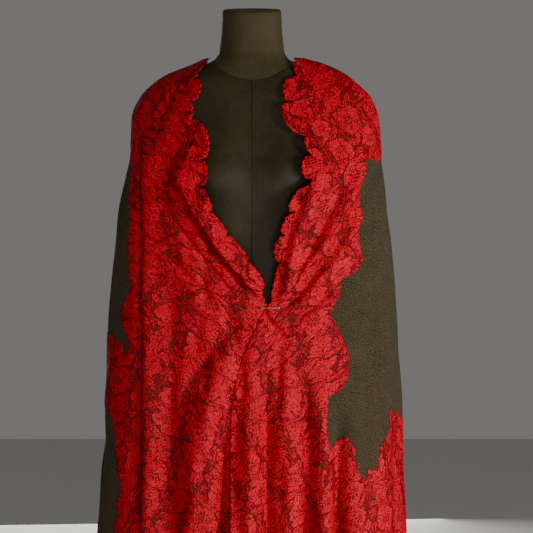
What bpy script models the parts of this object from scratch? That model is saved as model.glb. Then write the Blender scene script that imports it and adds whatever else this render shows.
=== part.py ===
"""A lace-bordered wool shawl, worn over the shoulders of a limbless dress form.

The frame is in metres with +Z up. The form faces -Y, and +X is the viewer's right.
A point of the cloth is named by its bearing and its height. The bearing is the angle round the
form's axis, zero straight ahead and negative on the viewer's left.
"""

import math
from collections import namedtuple

import bmesh
import bpy
import numpy as np

# Cloth thicknesses and gaps
WOOL_THICKNESS = 0.0015
LACE_THICKNESS = 0.0010
GAP = 0.0003
FORM_CLEARANCE = 0.0042
BLEND = 0.004
THICKEST_MITER = 1.7
LEAST_FACING = 0.40
NORMAL_PASSES = 30

# Heights
NECKLINE = 1.408
PIN_HEIGHT = 0.945
HEM = 0.380
TORSO_BOTTOM = 0.800
NECK_SEAM = 1.418
NECK_SEAM_DIP = 0.058
NECK_SEAM_BACK_RISE = 0.012
SEAM_TILT_FROM = 1.290
NECK_TOP = 1.505
NECK_TOP_TILT = -0.010

# Stand
POLE_RADIUS = 0.0175
BASE_RADIUS = 0.175
BASE_HEIGHT = 0.022
BASE_BEVEL = 0.006

# Pin
PIN_CENTRE_X = 0.030
PIN_LENGTH = 0.034
PIN_RADIUS = 0.0008
PIN_HEAD_RADIUS = 0.0026

# Lace border
SCALLOP_STEPS = (0.0020, 0.0085, 0.0115, 0.0080)
EDGE_STEPS = 3
HOLE_LENGTH_SHARE = 0.40
HOLE_WIDTH_SHARE = 0.24
SMALLEST_HOLE = 0.0042
HOLE_REPEAT = 7

ROW_HEIGHTS = (
    NECKLINE, 1.395, 1.376, 1.350, 1.318, 1.280, 1.240, 1.200, 1.160, 1.120, 1.080, 1.040,
    1.000, 0.958, 0.905, 0.845, 0.775, 0.700, 0.600, 0.490, HEM,
)

# The drape: half widths to the viewer's left and right, depths to the front and back
Section = namedtuple("Section", "height left right front back roundness")
DRAPE_SECTIONS = (
    Section(1.412, 0.086, 0.098, 0.052, 0.076, 2.0),
    Section(1.400, 0.112, 0.140, 0.058, 0.086, 2.0),
    Section(1.380, 0.163, 0.180, 0.072, 0.098, 2.0),
    Section(1.360, 0.192, 0.204, 0.084, 0.108, 2.1),
    Section(1.338, 0.213, 0.226, 0.096, 0.116, 2.15),
    Section(1.300, 0.230, 0.241, 0.111, 0.126, 2.2),
    Section(1.240, 0.232, 0.245, 0.132, 0.133, 2.25),
    Section(1.185, 0.240, 0.252, 0.147, 0.132, 2.3),
    Section(1.130, 0.252, 0.258, 0.150, 0.130, 2.35),
    Section(1.050, 0.263, 0.265, 0.144, 0.130, 2.4),
    Section(0.955, 0.272, 0.272, 0.137, 0.137, 2.4),
    Section(0.860, 0.276, 0.277, 0.142, 0.150, 2.45),
    Section(0.720, 0.280, 0.279, 0.147, 0.158, 2.5),
    Section(0.575, 0.291, 0.282, 0.151, 0.166, 2.5),
    Section(0.460, 0.296, 0.284, 0.154, 0.171, 2.5),
    Section(0.340, 0.302, 0.287, 0.158, 0.176, 2.5),
)

# The dress form: half width, depth to the front and depth to the back
FormSection = namedtuple("FormSection", "height side front back")
FORM_SECTIONS = (
    FormSection(1.520, 0.055, 0.053, 0.056),
    FormSection(1.470, 0.057, 0.054, 0.058),
    FormSection(1.440, 0.060, 0.056, 0.062),
    FormSection(1.420, 0.067, 0.058, 0.066),
    FormSection(1.410, 0.081, 0.061, 0.070),
    FormSection(1.398, 0.108, 0.065, 0.077),
    FormSection(1.385, 0.136, 0.070, 0.083),
    FormSection(1.370, 0.162, 0.076, 0.089),
    FormSection(1.350, 0.186, 0.083, 0.095),
    FormSection(1.325, 0.196, 0.090, 0.100),
    FormSection(1.290, 0.190, 0.098, 0.104),
    FormSection(1.250, 0.174, 0.108, 0.106),
    FormSection(1.185, 0.157, 0.118, 0.103),
    FormSection(1.100, 0.139, 0.104, 0.093),
    FormSection(1.020, 0.127, 0.090, 0.085),
    FormSection(0.950, 0.154, 0.098, 0.106),
    FormSection(0.870, 0.176, 0.106, 0.128),
    FormSection(0.825, 0.171, 0.102, 0.122),
    FormSection(0.800, 0.154, 0.090, 0.108),
    FormSection(0.775, 0.080, 0.050, 0.060),
    FormSection(0.750, 0.001, 0.001, 0.001),
)
FORM_ROUNDNESS = 2.25
BUST_HEIGHT = 1.190
BUST_BEARING = math.radians(33)
BUST_RISE = 0.019
BUST_SPREAD = math.radians(19)
BUST_TALL = 0.052

# How the cloth is shaped
FRONT_FADE = 6.0
LAP_DROP_AT_PIN = 0.0085
LAP_DROP_BELOW = 0.0110
NECK_DIP = 0.020
LOBE_BACK_SLOPE = 0.25

# Cloth edges on the front, as x by height
EdgeRow = namedtuple("EdgeRow", "height x")
LEFT_EDGE = (
    EdgeRow(1.408, -0.083), EdgeRow(1.380, -0.108), EdgeRow(1.340, -0.122), EdgeRow(1.300, -0.121),
    EdgeRow(1.260, -0.108), EdgeRow(1.220, -0.103), EdgeRow(1.180, -0.104), EdgeRow(1.150, -0.096),
    EdgeRow(1.120, -0.081), EdgeRow(1.090, -0.060), EdgeRow(1.060, -0.036), EdgeRow(1.030, -0.014),
    EdgeRow(1.000, 0.006), EdgeRow(0.975, 0.016), EdgeRow(0.950, 0.024), EdgeRow(0.930, 0.036),
    EdgeRow(0.900, 0.048), EdgeRow(0.380, 0.052),
)
RIGHT_EDGE = (
    EdgeRow(1.408, 0.084), EdgeRow(1.380, 0.091), EdgeRow(1.355, 0.082), EdgeRow(1.320, 0.080),
    EdgeRow(1.290, 0.088), EdgeRow(1.260, 0.106), EdgeRow(1.220, 0.117), EdgeRow(1.180, 0.115),
    EdgeRow(1.150, 0.100), EdgeRow(1.110, 0.080), EdgeRow(1.060, 0.064), EdgeRow(1.010, 0.058),
    EdgeRow(0.975, 0.050), EdgeRow(0.950, 0.035), EdgeRow(0.930, 0.022), EdgeRow(0.900, 0.008),
    EdgeRow(0.860, -0.010), EdgeRow(0.800, -0.027), EdgeRow(0.740, -0.034), EdgeRow(0.380, -0.036),
)

# Folds of the front. Rise is outwards, so a valley's is negative, and lean is along the cloth.
Fold = namedtuple("Fold", "name fronts profile rows")
FoldRow = namedtuple("FoldRow", "height x rise width lean")
SOFT, SQUARE = "soft", "square"
FRONT_FOLDS = (
    Fold("side gap", "both", SQUARE, (
        FoldRow(1.290, -0.220, 0.000, 0.007, 0),
        FoldRow(1.230, -0.209, -0.008, 0.007, 0),
        FoldRow(1.050, -0.204, -0.020, 0.008, 0),
        FoldRow(0.870, -0.204, -0.034, 0.009, 0),
        FoldRow(0.720, -0.206, -0.044, 0.010, 0),
        FoldRow(0.360, -0.209, -0.050, 0.011, 0),
    )),
    Fold("rolled edge of the gap", "both", SOFT, (
        FoldRow(1.290, -0.204, 0.000, 0.012, 0),
        FoldRow(1.230, -0.192, 0.004, 0.012, -0.003),
        FoldRow(1.050, -0.186, 0.009, 0.013, -0.005),
        FoldRow(0.870, -0.185, 0.012, 0.014, -0.006),
        FoldRow(0.360, -0.188, 0.014, 0.015, -0.006),
    )),
    Fold("dip beside the bust", "both", SOFT, (
        FoldRow(1.240, -0.165, 0.000, 0.020, 0),
        FoldRow(1.180, -0.160, -0.009, 0.020, 0),
        FoldRow(1.130, -0.155, -0.007, 0.020, 0),
        FoldRow(1.070, -0.150, 0.000, 0.020, 0),
    )),
    Fold("crease under the left neck roll", "left", SOFT, (
        FoldRow(1.210, -0.172, 0.000, 0.008, 0),
        FoldRow(1.187, -0.165, -0.004, 0.008, 0),
        FoldRow(1.133, -0.122, -0.008, 0.009, 0),
        FoldRow(1.051, -0.067, -0.009, 0.009, 0),
        FoldRow(0.987, -0.013, -0.007, 0.008, 0),
        FoldRow(0.955, 0.022, 0.000, 0.007, 0),
    )),
    Fold("left neck roll", "left", SOFT, (
        FoldRow(1.210, -0.150, 0.000, 0.013, 0),
        FoldRow(1.160, -0.126, 0.006, 0.013, -0.003),
        FoldRow(1.133, -0.101, 0.009, 0.012, -0.004),
        FoldRow(1.051, -0.047, 0.010, 0.012, -0.004),
        FoldRow(0.987, 0.003, 0.008, 0.010, -0.003),
        FoldRow(0.955, 0.028, 0.000, 0.010, 0),
    )),
    Fold("right drag ridge", "right", SOFT, (
        FoldRow(1.215, 0.212, 0.000, 0.014, 0),
        FoldRow(1.180, 0.198, 0.007, 0.014, 0),
        FoldRow(1.069, 0.142, 0.010, 0.014, 0),
        FoldRow(0.978, 0.069, 0.006, 0.011, 0),
        FoldRow(0.955, 0.045, 0.000, 0.010, 0),
    )),
    Fold("right drag valley", "right", SOFT, (
        FoldRow(1.180, 0.222, 0.000, 0.012, 0),
        FoldRow(1.130, 0.192, -0.006, 0.012, 0),
        FoldRow(1.045, 0.152, -0.008, 0.012, 0),
        FoldRow(0.962, 0.084, -0.005, 0.010, 0),
        FoldRow(0.945, 0.055, 0.000, 0.009, 0),
    )),
    Fold("lower drag ridge", "right", SOFT, (
        FoldRow(1.110, 0.200, 0.000, 0.013, 0),
        FoldRow(1.087, 0.187, 0.006, 0.013, 0),
        FoldRow(0.990, 0.120, 0.008, 0.012, 0),
        FoldRow(0.942, 0.080, 0.004, 0.011, 0),
        FoldRow(0.925, 0.060, 0.000, 0.011, 0),
    )),
    Fold("right neck roll", "right", SOFT, (
        FoldRow(1.200, 0.128, 0.000, 0.010, 0),
        FoldRow(1.151, 0.112, 0.006, 0.011, 0),
        FoldRow(1.060, 0.078, 0.009, 0.011, 0),
        FoldRow(1.000, 0.068, 0.006, 0.010, 0),
        FoldRow(0.960, 0.052, 0.000, 0.010, 0),
    )),
    Fold("left hanging ridge", "left", SOFT, (
        FoldRow(0.900, -0.030, 0.000, 0.018, 0),
        FoldRow(0.851, -0.050, 0.009, 0.020, 0),
        FoldRow(0.724, -0.092, 0.015, 0.022, 0),
        FoldRow(0.633, -0.106, 0.017, 0.022, 0),
        FoldRow(0.537, -0.104, 0.016, 0.022, 0),
        FoldRow(0.360, -0.100, 0.020, 0.024, 0),
    )),
    Fold("valley beside the lapped edge", "left", SQUARE, (
        FoldRow(0.840, -0.026, 0.000, 0.012, 0),
        FoldRow(0.780, -0.038, -0.010, 0.013, 0),
        FoldRow(0.724, -0.043, -0.020, 0.014, 0),
        FoldRow(0.600, -0.046, -0.030, 0.015, 0),
        FoldRow(0.360, -0.046, -0.034, 0.016, 0),
    )),
    Fold("left soft valley", "left", SOFT, (
        FoldRow(1.000, -0.145, 0.000, 0.016, 0),
        FoldRow(0.900, -0.147, -0.006, 0.016, 0),
        FoldRow(0.720, -0.150, -0.011, 0.017, 0),
        FoldRow(0.360, -0.152, -0.015, 0.018, 0),
    )),
    Fold("ridge of the lapped edge", "right", SOFT, (
        FoldRow(0.930, 0.012, 0.000, 0.014, 0),
        FoldRow(0.890, -0.002, 0.006, 0.015, 0),
        FoldRow(0.720, -0.006, 0.010, 0.016, 0),
        FoldRow(0.537, -0.004, 0.013, 0.016, 0),
        FoldRow(0.360, -0.002, 0.015, 0.018, 0),
    )),
    Fold("first right valley", "right", SOFT, (
        FoldRow(0.870, 0.030, 0.000, 0.012, 0),
        FoldRow(0.800, 0.030, -0.006, 0.012, 0),
        FoldRow(0.537, 0.030, -0.009, 0.013, 0),
        FoldRow(0.360, 0.031, -0.011, 0.014, 0),
    )),
    Fold("middle right ridge", "right", SOFT, (
        FoldRow(0.930, 0.060, 0.000, 0.018, 0),
        FoldRow(0.800, 0.066, 0.006, 0.018, 0),
        FoldRow(0.537, 0.069, 0.010, 0.018, 0),
        FoldRow(0.360, 0.070, 0.013, 0.020, 0),
    )),
    Fold("second right valley", "right", SQUARE, (
        FoldRow(0.830, 0.098, 0.000, 0.009, 0),
        FoldRow(0.760, 0.102, -0.009, 0.009, 0),
        FoldRow(0.690, 0.105, -0.017, 0.010, 0),
        FoldRow(0.537, 0.106, -0.023, 0.010, 0),
        FoldRow(0.360, 0.107, -0.026, 0.011, 0),
    )),
    Fold("narrow right ridge", "right", SOFT, (
        FoldRow(0.830, 0.128, 0.000, 0.012, 0),
        FoldRow(0.720, 0.132, 0.007, 0.012, 0),
        FoldRow(0.360, 0.134, 0.010, 0.013, 0),
    )),
    Fold("third right valley", "right", SQUARE, (
        FoldRow(0.800, 0.158, 0.000, 0.009, 0),
        FoldRow(0.740, 0.161, -0.011, 0.009, 0),
        FoldRow(0.620, 0.162, -0.019, 0.010, 0),
        FoldRow(0.360, 0.164, -0.024, 0.011, 0),
    )),
    Fold("outer right ridge", "right", SOFT, (
        FoldRow(0.800, 0.186, 0.000, 0.013, 0),
        FoldRow(0.720, 0.190, 0.006, 0.013, 0),
        FoldRow(0.360, 0.194, 0.010, 0.014, 0),
    )),
)

# Folds of the sides and back, by bearing in degrees at their top and at the hem
BackFold = namedtuple("BackFold", "top_bearing hem_bearing rise width start")
BACK_FOLDS = (
    BackFold(81, 79, -0.010, 4.0, 1.16),
    BackFold(93, 91, 0.014, 6.5, 1.24),
    BackFold(105, 103, -0.021, 6.0, 1.18),
    BackFold(117, 116, 0.016, 6.5, 1.20),
    BackFold(128, 129, -0.020, 6.0, 1.10),
    BackFold(140, 141, 0.016, 7.0, 1.14),
    BackFold(152, 153, -0.021, 6.5, 1.20),
    BackFold(163, 164, 0.016, 6.0, 1.05),
    BackFold(175, 174, -0.023, 6.5, 1.24),
    BackFold(-174, -175, 0.019, 6.5, 1.12),
    BackFold(-163, -163, -0.021, 6.5, 1.18),
    BackFold(-152, -151, 0.017, 7.0, 1.08),
    BackFold(-140, -139, -0.020, 6.0, 1.20),
    BackFold(-128, -127, 0.017, 6.5, 1.14),
    BackFold(-116, -115, -0.023, 6.0, 1.22),
    BackFold(-103, -102, 0.016, 6.0, 1.24),
    BackFold(-92, -92, -0.014, 4.5, 1.10),
)
BACK_SPLIT = math.radians(134)
SHOULDER_SPLIT = math.radians(93)
RIGHT_SPLIT_X = 0.213
SPLIT_PAST_GAP = 0.020

# Where the lace border ends on the wool
RIGHT_BORDER = (
    EdgeRow(1.250, 0.300), EdgeRow(1.240, 0.236), EdgeRow(1.228, 0.222), EdgeRow(1.205, 0.208),
    EdgeRow(1.165, 0.196), EdgeRow(1.111, 0.203), EdgeRow(1.084, 0.195), EdgeRow(1.033, 0.203),
    EdgeRow(1.012, 0.191), EdgeRow(0.996, 0.165), EdgeRow(0.951, 0.154), EdgeRow(0.930, 0.143),
    EdgeRow(0.878, 0.170), EdgeRow(0.824, 0.177), EdgeRow(0.795, 0.165), EdgeRow(0.782, 0.140),
    EdgeRow(0.688, 0.137),
)
LEFT_STRIP = (
    EdgeRow(1.262, -0.228), EdgeRow(1.160, -0.229), EdgeRow(1.110, -0.225), EdgeRow(1.060, -0.228),
    EdgeRow(0.985, -0.223), EdgeRow(0.965, -0.230), EdgeRow(0.945, -0.242), EdgeRow(0.905, -0.242),
    EdgeRow(0.880, -0.226), EdgeRow(0.820, -0.224),
)
LEFT_LOBE = (
    EdgeRow(0.900, -0.300), EdgeRow(0.765, -0.290), EdgeRow(0.745, -0.261), EdgeRow(0.706, -0.254),
    EdgeRow(0.650, -0.249), EdgeRow(0.606, -0.240), EdgeRow(0.579, -0.252), EdgeRow(0.560, -0.245),
    EdgeRow(0.540, -0.257), EdgeRow(0.360, -0.250),
)
NECK_BAND = 1.215
LEFT_NECK_BAND_RISE = 0.025
STRIP_PAST_GAP = 0.002
NECK_BAND_SCALLOP = 0.012
NECK_BAND_SCALLOPS = 14
LOBE_TOP = 0.862
LOBE_BACK_BEARING = math.radians(-98)
BandRow = namedtuple("BandRow", "bearing height")
HEM_BAND = (
    BandRow(-180, 0.600), BandRow(-135, 0.580), BandRow(-110, 0.545), BandRow(-90, 0.500),
    BandRow(0, 0.500), BandRow(44, 0.640), BandRow(47, 0.684), BandRow(54, 0.711),
    BandRow(58, 0.655), BandRow(61, 0.635), BandRow(67, 0.657), BandRow(70, 0.702),
    BandRow(77, 0.745), BandRow(90, 0.740), BandRow(105, 0.690), BandRow(135, 0.630),
    BandRow(180, 0.600),
)

# Column places across each stretch, as shares of its width
LEFT_FRONT_COLUMNS = (
    0, 0.11, 0.20, 0.28, 0.345, 0.41, 0.50, 0.59, 0.68, 0.76, 0.825, 0.88, 0.926, 0.963, 1,
)
RIGHT_FRONT_COLUMNS = (
    0, 0.06, 0.125, 0.19, 0.26, 0.34, 0.42, 0.50, 0.56, 0.615, 0.67, 0.73, 0.79, 0.85, 0.92, 1,
)
LEFT_SIDE_COLUMNS = (0, 0.09, 0.20, 0.31, 0.42, 0.53, 0.65, 0.76, 0.88, 1)
RIGHT_SIDE_COLUMNS = (0, 0.11, 0.22, 0.33, 0.44, 0.55, 0.66, 0.77, 0.88, 1)
BACK_COLUMN_COUNT = 20

Finish = namedtuple("Finish", "name colour roughness metallic")
WOOL = Finish("wool", (0.105, 0.100, 0.070), 0.90, 0.0)
LACE = Finish("lace", (0.560, 0.012, 0.016), 0.65, 0.0)
FORM_CLOTH = Finish("form_cloth", (0.035, 0.033, 0.024), 0.60, 0.0)
NECK_CLOTH = Finish("neck_cloth", (0.085, 0.075, 0.048), 0.70, 0.0)
STAND = Finish("stand", (0.030, 0.028, 0.026), 0.45, 0.0)
PIN_METAL = Finish("pin_metal", (0.700, 0.680, 0.640), 0.30, 1.0)


def clear_scene():
    """Remove every object that is already there."""
    for thing in list(bpy.data.objects):
        bpy.data.objects.remove(thing, do_unlink=True)


def smooth_step(value):
    """Ease from 0 to 1 as the value does."""
    value = np.clip(value, 0.0, 1.0)
    return value * value * (3.0 - 2.0 * value)


def smooth_curve(places, values):
    """Return a function through (place, value) pairs that never overshoots them."""
    order = np.argsort(places)
    place, value = np.array(places, float)[order], np.array(values, float)[order]
    step = np.diff(place)
    slope = np.diff(value) / step
    product = slope[1:] * slope[:-1]
    total = slope[1:] + slope[:-1]
    inner = np.where(product > 0, 2.0 * product / np.where(total == 0, 1.0, total), 0.0)
    tangent = np.concatenate(([slope[0]], inner, [slope[-1]]))

    def curve(at):
        at = np.clip(at, place[0], place[-1])
        index = np.clip(np.searchsorted(place, at) - 1, 0, len(step) - 1)
        share = (at - place[index]) / step[index]
        square, cube = share * share, share * share * share
        return (
            value[index] * (2 * cube - 3 * square + 1)
            + value[index + 1] * (3 * square - 2 * cube)
            + step[index] * tangent[index] * (cube - 2 * square + share)
            + step[index] * tangent[index + 1] * (cube - square)
        )

    return curve


def column_curve(rows, place, value):
    """A smooth curve through one column of a table."""
    return smooth_curve([getattr(row, place) for row in rows], [getattr(row, value) for row in rows])


drape = {name: column_curve(DRAPE_SECTIONS, "height", name) for name in Section._fields[1:]}
form = {name: column_curve(FORM_SECTIONS, "height", name) for name in FormSection._fields[1:]}
left_edge_x = column_curve(LEFT_EDGE, "height", "x")
right_edge_x = column_curve(RIGHT_EDGE, "height", "x")


def rounded_radius(bearing, side, front, back, roundness):
    """Radius of a rounded section at a bearing."""
    across = np.abs(np.sin(bearing)) / side
    along = np.abs(np.cos(bearing)) / np.where(np.cos(bearing) > 0, front, back)
    return (across**roundness + along**roundness) ** (-1.0 / roundness)


def form_radius(bearing, height):
    """Radius of the dress form, with its bust."""
    plain = rounded_radius(
        bearing, form["side"](height), form["front"](height), form["back"](height), FORM_ROUNDNESS
    )
    aside = (np.abs(np.arctan2(np.sin(bearing), np.cos(bearing))) - BUST_BEARING) / BUST_SPREAD
    above = (height - BUST_HEIGHT) / BUST_TALL
    return plain + BUST_RISE * np.exp(-aside * aside - above * above)


def soft_larger(first, second):
    """The larger of two lengths, blended where they are close."""
    apart = first - second
    return 0.5 * (first + second + np.sqrt(apart * apart + BLEND * BLEND)) - 0.25 * BLEND


def drape_radius(bearing, height):
    """Radius of the cloth before its folds."""
    side = np.where(np.sin(bearing) < 0, drape["left"](height), drape["right"](height))
    plain = rounded_radius(
        bearing, side, drape["front"](height), drape["back"](height), drape["roundness"](height)
    )
    return soft_larger(plain, form_radius(bearing, height) + FORM_CLEARANCE)


def bearing_of_x(x, height, side):
    """Bearing where the front of the drape has this x. Side is -1 on the viewer's left."""
    tries = np.linspace(math.radians(-20), math.radians(89), 160)
    out = drape_radius(side * tries, np.full_like(tries, height)) * np.sin(tries)
    rising = np.maximum.accumulate(out)
    return side * float(np.interp(side * x, rising, tries))


def fold_shape(profile, distance):
    """How much of a fold's rise is felt at a distance in widths from its line."""
    if profile == SQUARE:
        return 1.0 / (1.0 + distance**4)
    return np.exp(-distance * distance)


def relief(bearing, height, x, front):
    """Rise and lean of the cloth that its folds add."""
    rise, lean = np.zeros_like(x), np.zeros_like(x)
    ahead = smooth_step(np.cos(bearing) * FRONT_FADE)
    for fold in FRONT_FOLDS:
        if fold.fronts not in ("both", front):
            continue
        rows = sorted(fold.rows)
        heights = [row.height for row in rows]
        line, size, width, slant = (
            np.interp(height, heights, [getattr(row, name) for row in rows])
            for name in ("x", "rise", "width", "lean")
        )
        felt = fold_shape(fold.profile, (x - line) / width) * ahead
        rise += size * felt
        lean += slant * felt
    for fold in BACK_FOLDS:
        share = smooth_step((fold.start - height) / (fold.start - HEM))
        line = np.radians(fold.top_bearing + (fold.hem_bearing - fold.top_bearing) * share)
        apart = np.arctan2(np.sin(bearing - line), np.cos(bearing - line))
        rise += fold.rise * share * fold_shape(SOFT, apart / math.radians(fold.width))
    return rise, lean


def under_lap_drop(x, height):
    """How far the left front lies under the right one."""
    near_pin = smooth_step((1.000 - height) / 0.045) * smooth_step((x + 0.040) / 0.035)
    lower = smooth_step((0.860 - height) / 0.120) * smooth_step((x + 0.060) / 0.030)
    return LAP_DROP_AT_PIN * near_pin + LAP_DROP_BELOW * lower


def surface(bearing, height, front):
    """Outer face of the wool, as an array of points."""
    bearing, height = np.asarray(bearing, float), np.asarray(height, float)
    radius = drape_radius(bearing, height)
    small = 0.001
    slope = (drape_radius(bearing + small, height) - drape_radius(bearing - small, height)) / (2 * small)
    x, y = radius * np.sin(bearing), -radius * np.cos(bearing)
    along_x = slope * np.sin(bearing) + radius * np.cos(bearing)
    along_y = -slope * np.cos(bearing) + radius * np.sin(bearing)
    size = np.hypot(along_x, along_y)
    along_x, along_y = along_x / size, along_y / size
    rise, lean = relief(bearing, height, x, front)
    if front == "left":
        rise = rise - under_lap_drop(x, height) * smooth_step(np.cos(bearing) * FRONT_FADE)
    x, y = x + along_y * rise + along_x * lean, y - along_x * rise + along_y * lean
    bare = np.hypot(x, y)
    turned = np.arctan2(x, -y)
    kept = soft_larger(bare, form_radius(turned, height) + FORM_CLEARANCE)
    return np.stack([x * kept / bare, y * kept / bare, height + 0.0 * x], axis=-1)


def outward(bearing, height, front):
    """Unit normals of the cloth."""
    turn, lift = 0.004, 0.002
    across = surface(bearing + turn, height, front) - surface(bearing - turn, height, front)
    up = surface(bearing, height + lift, front) - surface(bearing, height - lift, front)
    normal = np.cross(across, up)
    return normal / np.linalg.norm(normal, axis=-1, keepdims=True)


def row_height(nominal, bearing):
    """Height of a row, which dips behind the neck and is uneven at the hem."""
    behind = smooth_step((abs(bearing) - math.radians(95)) / math.radians(60))
    near_neck = smooth_step((nominal - 1.300) / (NECKLINE - 1.300))
    near_hem = smooth_step((0.950 - nominal) / (0.950 - HEM))
    hem_wave = 0.012 * math.sin(2.0 * bearing + 0.6) - 0.010 * math.cos(bearing)
    return nominal - NECK_DIP * behind * near_neck + hem_wave * near_hem


def gap_x(height):
    """Line of the deep fold at the viewer's left."""
    rows = sorted(FRONT_FOLDS[0].rows)
    return float(np.interp(height, [row.height for row in rows], [row.x for row in rows]))


def side_split(height, side):
    """Bearing where the front stretch ends: on the shoulder's ridge above, by x below."""
    above = smooth_step((height - 1.225) / (1.300 - 1.225))
    line = gap_x(height) - SPLIT_PAST_GAP if side < 0 else RIGHT_SPLIT_X
    below = bearing_of_x(line, height, side)
    return below + (side * SHOULDER_SPLIT - below) * above


def seam(bearing, height, direction):
    """A bearing moved by half a seam's gap."""
    return bearing + direction * 0.5 * GAP / drape_radius(bearing, height)


def edge_bearing(height, side):
    """Bearing of a front's free edge."""
    x = left_edge_x(height) if side < 0 else right_edge_x(height)
    reach = side * 0.97 * float(drape["left" if side < 0 else "right"](height))
    x = max(x, reach) if side < 0 else min(x, reach)
    return bearing_of_x(float(x), height, side)


Stretch = namedtuple("Stretch", "name front start end columns free_edge")
STRETCHES = (
    Stretch(
        "left_front", "left",
        lambda height: edge_bearing(height, -1),
        lambda height: seam(side_split(height, -1), height, 1),
        LEFT_FRONT_COLUMNS, True,
    ),
    Stretch(
        "left_side", "left",
        lambda height: seam(side_split(height, -1), height, -1),
        lambda height: seam(-BACK_SPLIT, height, 1),
        LEFT_SIDE_COLUMNS, False,
    ),
    Stretch(
        "back", "right",
        lambda height: seam(BACK_SPLIT, height, 1),
        lambda height: seam(2 * math.pi - BACK_SPLIT, height, -1),
        tuple(index / BACK_COLUMN_COUNT for index in range(BACK_COLUMN_COUNT + 1)), False,
    ),
    Stretch(
        "right_side", "right",
        lambda height: seam(side_split(height, 1), height, 1),
        lambda height: seam(BACK_SPLIT, height, -1),
        RIGHT_SIDE_COLUMNS, False,
    ),
    Stretch(
        "right_front", "right",
        lambda height: edge_bearing(height, 1),
        lambda height: seam(side_split(height, 1), height, -1),
        RIGHT_FRONT_COLUMNS, True,
    ),
)


def wrapped(bearing):
    """The same bearing between -180 and 180 degrees."""
    return math.atan2(math.sin(bearing), math.cos(bearing))


class Net:
    """Points of the cloth by bearing and height, joined by triangles."""

    def __init__(self, front):
        self.front = front
        self.bearings, self.heights, self.triangles, self.cells = [], [], [], []

    def add(self, bearing, height):
        """Add a point and return its number."""
        self.bearings.append(bearing)
        self.heights.append(height)
        return len(self.bearings) - 1

    def finish(self):
        """Work out the points, the miter-long normals and the side that faces out."""
        bearings, heights = np.array(self.bearings), np.array(self.heights)
        triangles = np.array(self.triangles)
        self.points = surface(bearings, heights, self.front)
        normals = outward(bearings, heights, self.front)
        corners = self.points[triangles]
        facing = np.cross(corners[:, 1] - corners[:, 0], corners[:, 2] - corners[:, 0])
        facing /= np.linalg.norm(facing, axis=1, keepdims=True)
        if np.sum(facing * normals[triangles[:, 0]]) < 0:
            facing = -facing
        for _ in range(NORMAL_PASSES):
            for corner in range(3):
                number = triangles[:, corner]
                graze = LEAST_FACING - np.sum(facing * normals[number], axis=1)
                np.add.at(normals, number, np.clip(graze, 0.0, None)[:, None] * facing)
            normals /= np.linalg.norm(normals, axis=1, keepdims=True)
        least = np.ones(len(bearings))
        for corner in range(3):
            number = triangles[:, corner]
            np.minimum.at(least, number, np.sum(facing * normals[number], axis=1))
        self.offsets = normals / np.clip(least, 1.0 / THICKEST_MITER, 1.0)[:, None]


def stretch_net(stretch):
    """The net of one stretch of wool, finer along its free edge."""
    net, rows = Net(stretch.front), []
    for nominal in ROW_HEIGHTS:
        start, end = stretch.start(nominal), stretch.end(nominal)
        bearings = [start + (end - start) * share for share in stretch.columns]
        rows.append([net.add(b, row_height(nominal, wrapped(b))) for b in bearings])
    net.rows, net.edge = rows, [rows[0][0]]
    for level in range(len(rows) - 1):
        upper, lower = rows[level], rows[level + 1]
        first = 0
        if stretch.free_edge:
            first = 1
            top, low = ROW_HEIGHTS[level], ROW_HEIGHTS[level + 1]
            between = [top + (low - top) * step / EDGE_STEPS for step in range(1, EDGE_STEPS)]
            fine = [net.add(stretch.start(h), row_height(h, stretch.start(h))) for h in between]
            run = [upper[0], *fine, lower[0]]
            net.edge += run[1:]
            for step in range(EDGE_STEPS):
                anchor = upper[1] if step < EDGE_STEPS - 1 else lower[1]
                net.triangles.append((run[step], run[step + 1], anchor))
            net.triangles.append((upper[1], run[EDGE_STEPS - 1], lower[1]))
        for column in range(first, len(upper) - 1):
            a, b, c, d = upper[column], lower[column], lower[column + 1], upper[column + 1]
            net.triangles += [(a, b, c), (a, c, d)]
            net.cells.append((level, column, a, b, c, d))
    net.finish()
    return net


def closed_sheet(name, finish, outer, inner, triangles):
    """Make one closed solid from two faces of a sheet that share their triangles."""
    mesh = bmesh.new()
    top = [mesh.verts.new(point) for point in outer]
    low = [mesh.verts.new(point) for point in inner]
    sides = set()
    for a, b, c in triangles:
        mesh.faces.new((top[a], top[b], top[c]))
        mesh.faces.new((low[c], low[b], low[a]))
        for start, end in ((a, b), (b, c), (c, a)):
            sides.add((start, end))
    for start, end in sides:
        if (end, start) not in sides:
            mesh.faces.new((top[end], top[start], low[start], low[end]))
    return finish_object(name, finish, mesh, 40)


def finish_object(name, finish, mesh, sharp_degrees):
    """Turn a bmesh into a shaded object with its own material."""
    loose = [vert for vert in mesh.verts if not vert.link_faces]
    bmesh.ops.delete(mesh, geom=loose, context="VERTS")
    bmesh.ops.triangulate(mesh, faces=list(mesh.faces))
    bmesh.ops.recalc_face_normals(mesh, faces=list(mesh.faces))
    data = bpy.data.meshes.new(name)
    mesh.to_mesh(data)
    mesh.free()
    data.shade_smooth()
    data.set_sharp_from_angle(angle=math.radians(sharp_degrees))
    material = bpy.data.materials.new(name + "_" + finish.name)
    material.use_nodes = True
    shader = material.node_tree.nodes["Principled BSDF"]
    shader.inputs["Base Color"].default_value = (*finish.colour, 1.0)
    shader.inputs["Roughness"].default_value = finish.roughness
    shader.inputs["Metallic"].default_value = finish.metallic
    material.diffuse_color = (*finish.colour, 1.0)
    data.materials.append(material)
    thing = bpy.data.objects.new(name, data)
    bpy.context.scene.collection.objects.link(thing)
    return thing


def wool_stretch(stretch, net):
    """One stretch of the wool cloth."""
    inner = net.points - net.offsets * WOOL_THICKNESS
    return closed_sheet("wool_" + stretch.name, WOOL, net.points, inner, net.triangles)


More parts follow.
